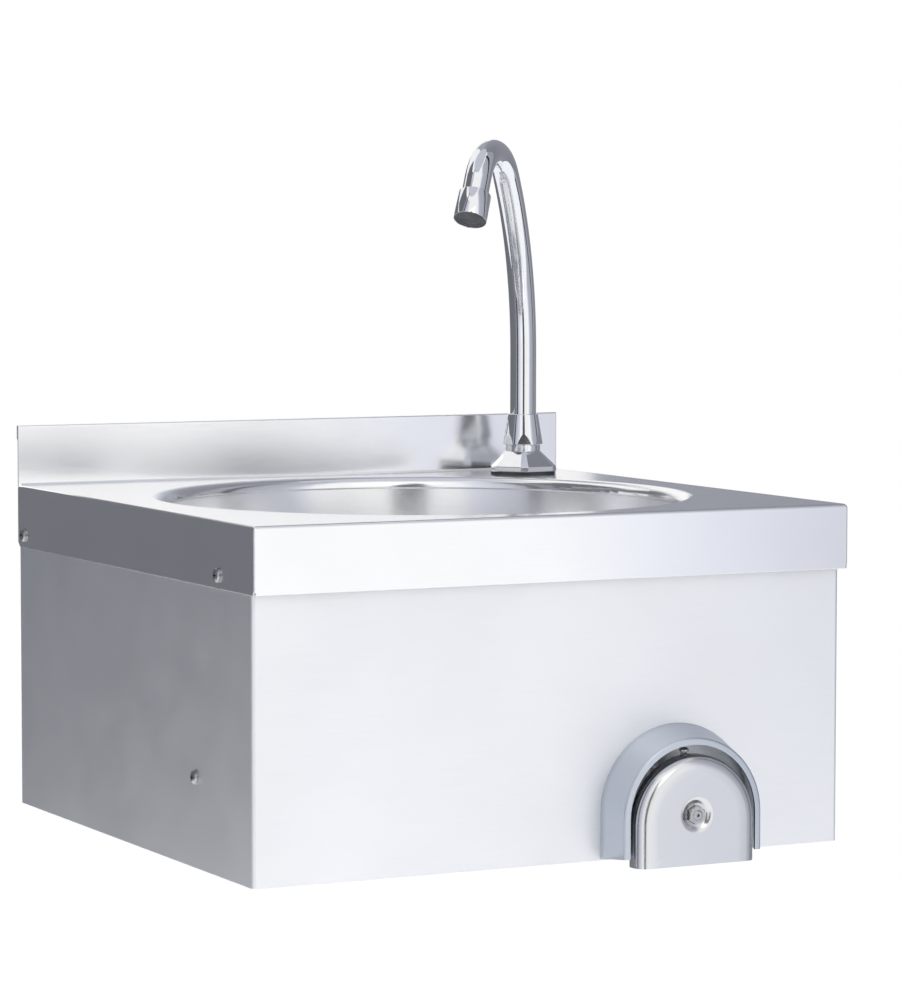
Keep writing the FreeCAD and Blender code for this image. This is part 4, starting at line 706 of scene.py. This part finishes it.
def studio_world():
    """A white studio for the camera, gloss and glass, and a dimmer light on matt surfaces."""
    world = bpy.data.worlds.new("studio")
    bpy.context.scene.world = world
    world.use_nodes = True
    tree = world.node_tree
    light = tree.nodes["Background"]
    light.inputs["Color"].default_value = (0.95, 0.97, 1.0, 1)
    light.inputs["Strength"].default_value = 0.85
    white = tree.nodes.new("ShaderNodeBackground")
    white.inputs["Color"].default_value = (1, 1, 1, 1)
    white.inputs["Strength"].default_value = 1.0
    path = tree.nodes.new("ShaderNodeLightPath")
    seen = path.outputs["Is Camera Ray"]
    for kind in ("Is Glossy Ray", "Is Transmission Ray"):
        either = tree.nodes.new("ShaderNodeMath")
        either.operation = "MAXIMUM"
        tree.links.new(seen, either.inputs[0])
        tree.links.new(path.outputs[kind], either.inputs[1])
        seen = either.outputs[0]
    choose = tree.nodes.new("ShaderNodeMixShader")
    tree.links.new(seen, choose.inputs[0])
    tree.links.new(light.outputs[0], choose.inputs[1])
    tree.links.new(white.outputs[0], choose.inputs[2])
    tree.links.new(choose.outputs[0], tree.nodes["World Output"].inputs["Surface"])


def glow_material():
    """Studio card that glows in the tones painted on its corners, whatever light falls on it."""
    material = bpy.data.materials.new("studio_card")
    material.use_nodes = True
    tree = material.node_tree
    tree.nodes.remove(tree.nodes["Principled BSDF"])
    glow = tree.nodes.new("ShaderNodeEmission")
    painted = tree.nodes.new("ShaderNodeVertexColor")
    painted.layer_name = "tone"
    tree.links.new(painted.outputs["Color"], glow.inputs["Color"])
    tree.links.new(glow.outputs[0], tree.nodes["Material Output"].inputs["Surface"])
    return material


def card(material, name, azimuths, heights, levels, distance=3.0):
    """A curved card between two compass directions and two heights, both in degrees.

    Its brightness goes evenly from the first level to the second, in a slightly blue tone. Gloss sees
    it, but the camera and matt surfaces don't, and it throws no shadow.
    """
    columns, rows = 16, 6
    tint = (0.95, 0.985, 1.11)
    corners, faces, tones = [], [], []
    for row in range(rows + 1):
        height = math.radians(heights[0] + (heights[1] - heights[0]) * row / rows)
        for column in range(columns + 1):
            share = column / columns
            azimuth = math.radians(azimuths[0] + (azimuths[1] - azimuths[0]) * share)
            level = levels[0] + (levels[1] - levels[0]) * share
            way = Vector((math.sin(azimuth) * math.cos(height), math.cos(azimuth) * math.cos(height),
                          math.sin(height)))
            corners.append(Vector(MIDDLE) + way * distance)
            tones.append((*(level * part for part in tint), 1))
    for row in range(rows):
        for column in range(columns):
            first = row * (columns + 1) + column
            faces.append((first, first + 1, first + columns + 2, first + columns + 1))
    mesh = bpy.data.meshes.new(name)
    mesh.from_pydata(corners, [], faces)
    paint = mesh.color_attributes.new("tone", "FLOAT_COLOR", "POINT")
    for point, tone_here in zip(paint.data, tones):
        point.color = tone_here
    mesh.materials.append(material)
    sheet = bpy.data.objects.new(name, mesh)
    bpy.context.scene.collection.objects.link(sheet)
    sheet.visible_camera = False
    sheet.visible_diffuse = False
    sheet.visible_shadow = False


def studio_cards():
    """Grey cards round the sink, which give the metal its darker sides and bands."""
    material = glow_material()
    card(material, "card_back_left",
         azimuths=(278, 366), heights=(-20, 30), levels=(0.19, 0.17), distance=1.4)
    card(material, "card_back_left_high",
         azimuths=(278, 330), heights=(30, 60), levels=(0.16, 0.16), distance=2.0)
    card(material, "card_left",
         azimuths=(228, 279), heights=(-34, 60), levels=(0.85, 0.24), distance=2.6)
    card(material, "card_left_strip",
         azimuths=(259, 266), heights=(-34, 70), levels=(0.03, 0.03), distance=2.2)
    card(material, "card_camera", azimuths=(193, 209), heights=(-35, 42), levels=(0.08, 0.12))
    card(material, "card_right", azimuths=(84, 141), heights=(-34, 62), levels=(0.36, 0.50))
    card(material, "card_right_edge", azimuths=(141, 152), heights=(-34, 62), levels=(0.50, 0.86))
    card(material, "card_right_strip",
         azimuths=(100, 107), heights=(-34, 64), levels=(0.03, 0.03), distance=2.6)
    card(material, "card_back_right", azimuths=(31, 84), heights=(-34, 66), levels=(0.34, 0.24))
    card(material, "card_back_high", azimuths=(6, 31), heights=(34, 66), levels=(0.42, 0.42))
    card(material, "card_overhead", azimuths=(0, 360), heights=(66, 90), levels=(0.62, 0.62))


def pale_floor():
    """A wide pale floor well below the hung sink."""
    half = 7.0
    mesh = bpy.data.meshes.new("floor")
    corners = [(-half, -half, FLOOR_HEIGHT), (half, -half, FLOOR_HEIGHT),
               (half, half, FLOOR_HEIGHT), (-half, half, FLOOR_HEIGHT)]
    mesh.from_pydata(corners, [], [(0, 1, 2, 3)])
    floor = bpy.data.objects.new("floor", mesh)
    bpy.context.scene.collection.objects.link(floor)
    shader = Shader("floor_white", (0.9, 0.9, 0.9), metallic=0.0, roughness=0.8)
    shader.surface.inputs["Specular IOR Level"].default_value = 0.0
    shader.surface.inputs["Emission Color"].default_value = (1, 1, 1, 1)
    shader.surface.inputs["Emission Strength"].default_value = 0.28
    mesh.materials.append(shader.material)


def soft_light(name, place, target, width, height, power):
    """A large soft lamp aimed at a point."""
    data = bpy.data.lights.new(name, "AREA")
    data.shape = "RECTANGLE"
    data.size = width
    data.size_y = height
    data.energy = power
    lamp = bpy.data.objects.new(name, data)
    bpy.context.scene.collection.objects.link(lamp)
    lamp.location = place
    lamp.rotation_euler = (Vector(target) - Vector(place)).to_track_quat("-Z", "Y").to_euler()


def studio_lamps():
    """Two soft lamps: one high at the front left, one at the front right."""
    soft_light("key", (-0.6, -2.6, 1.7), MIDDLE, width=1.6, height=1.2, power=6)
    soft_light("fill", (1.3, -2.6, 0.3), MIDDLE, width=1.4, height=1.6, power=0.4)


def photo_camera():
    """The camera, solved on the sink's long edges in the photograph."""
    data = bpy.data.cameras.new("camera")
    data.lens = 141.67
    data.sensor_width = 36.0
    data.clip_end = 60.0
    camera = bpy.data.objects.new("camera", data)
    bpy.context.scene.collection.objects.link(camera)
    camera.location = (-1.109965, -2.422865, 0.303934)
    down, heading, roll = 4.191, -26.877, 0.051
    tilt = Euler((math.radians(90 - down), 0, math.radians(heading))).to_quaternion()
    camera.rotation_mode = "QUATERNION"
    camera.rotation_quaternion = tilt @ Euler((0, 0, math.radians(roll))).to_quaternion()
    bpy.context.scene.camera = camera


dress()
surface = {name: nodes[name].data.materials[0] for name in nodes}
coil(surface["push_rod"])
tap_casting(surface["tap_body"])
cone_nut(surface["spout_nut"])
aerator(surface["aerator_housing"], surface["aerator_insert"])
arch_collar(surface["knee_collar"])
pressed_pad(surface["knee_pad"])
studio_world()
studio_cards()
studio_lamps()
pale_floor()
photo_camera()
bpy.context.scene.view_settings.view_transform = "Standard"
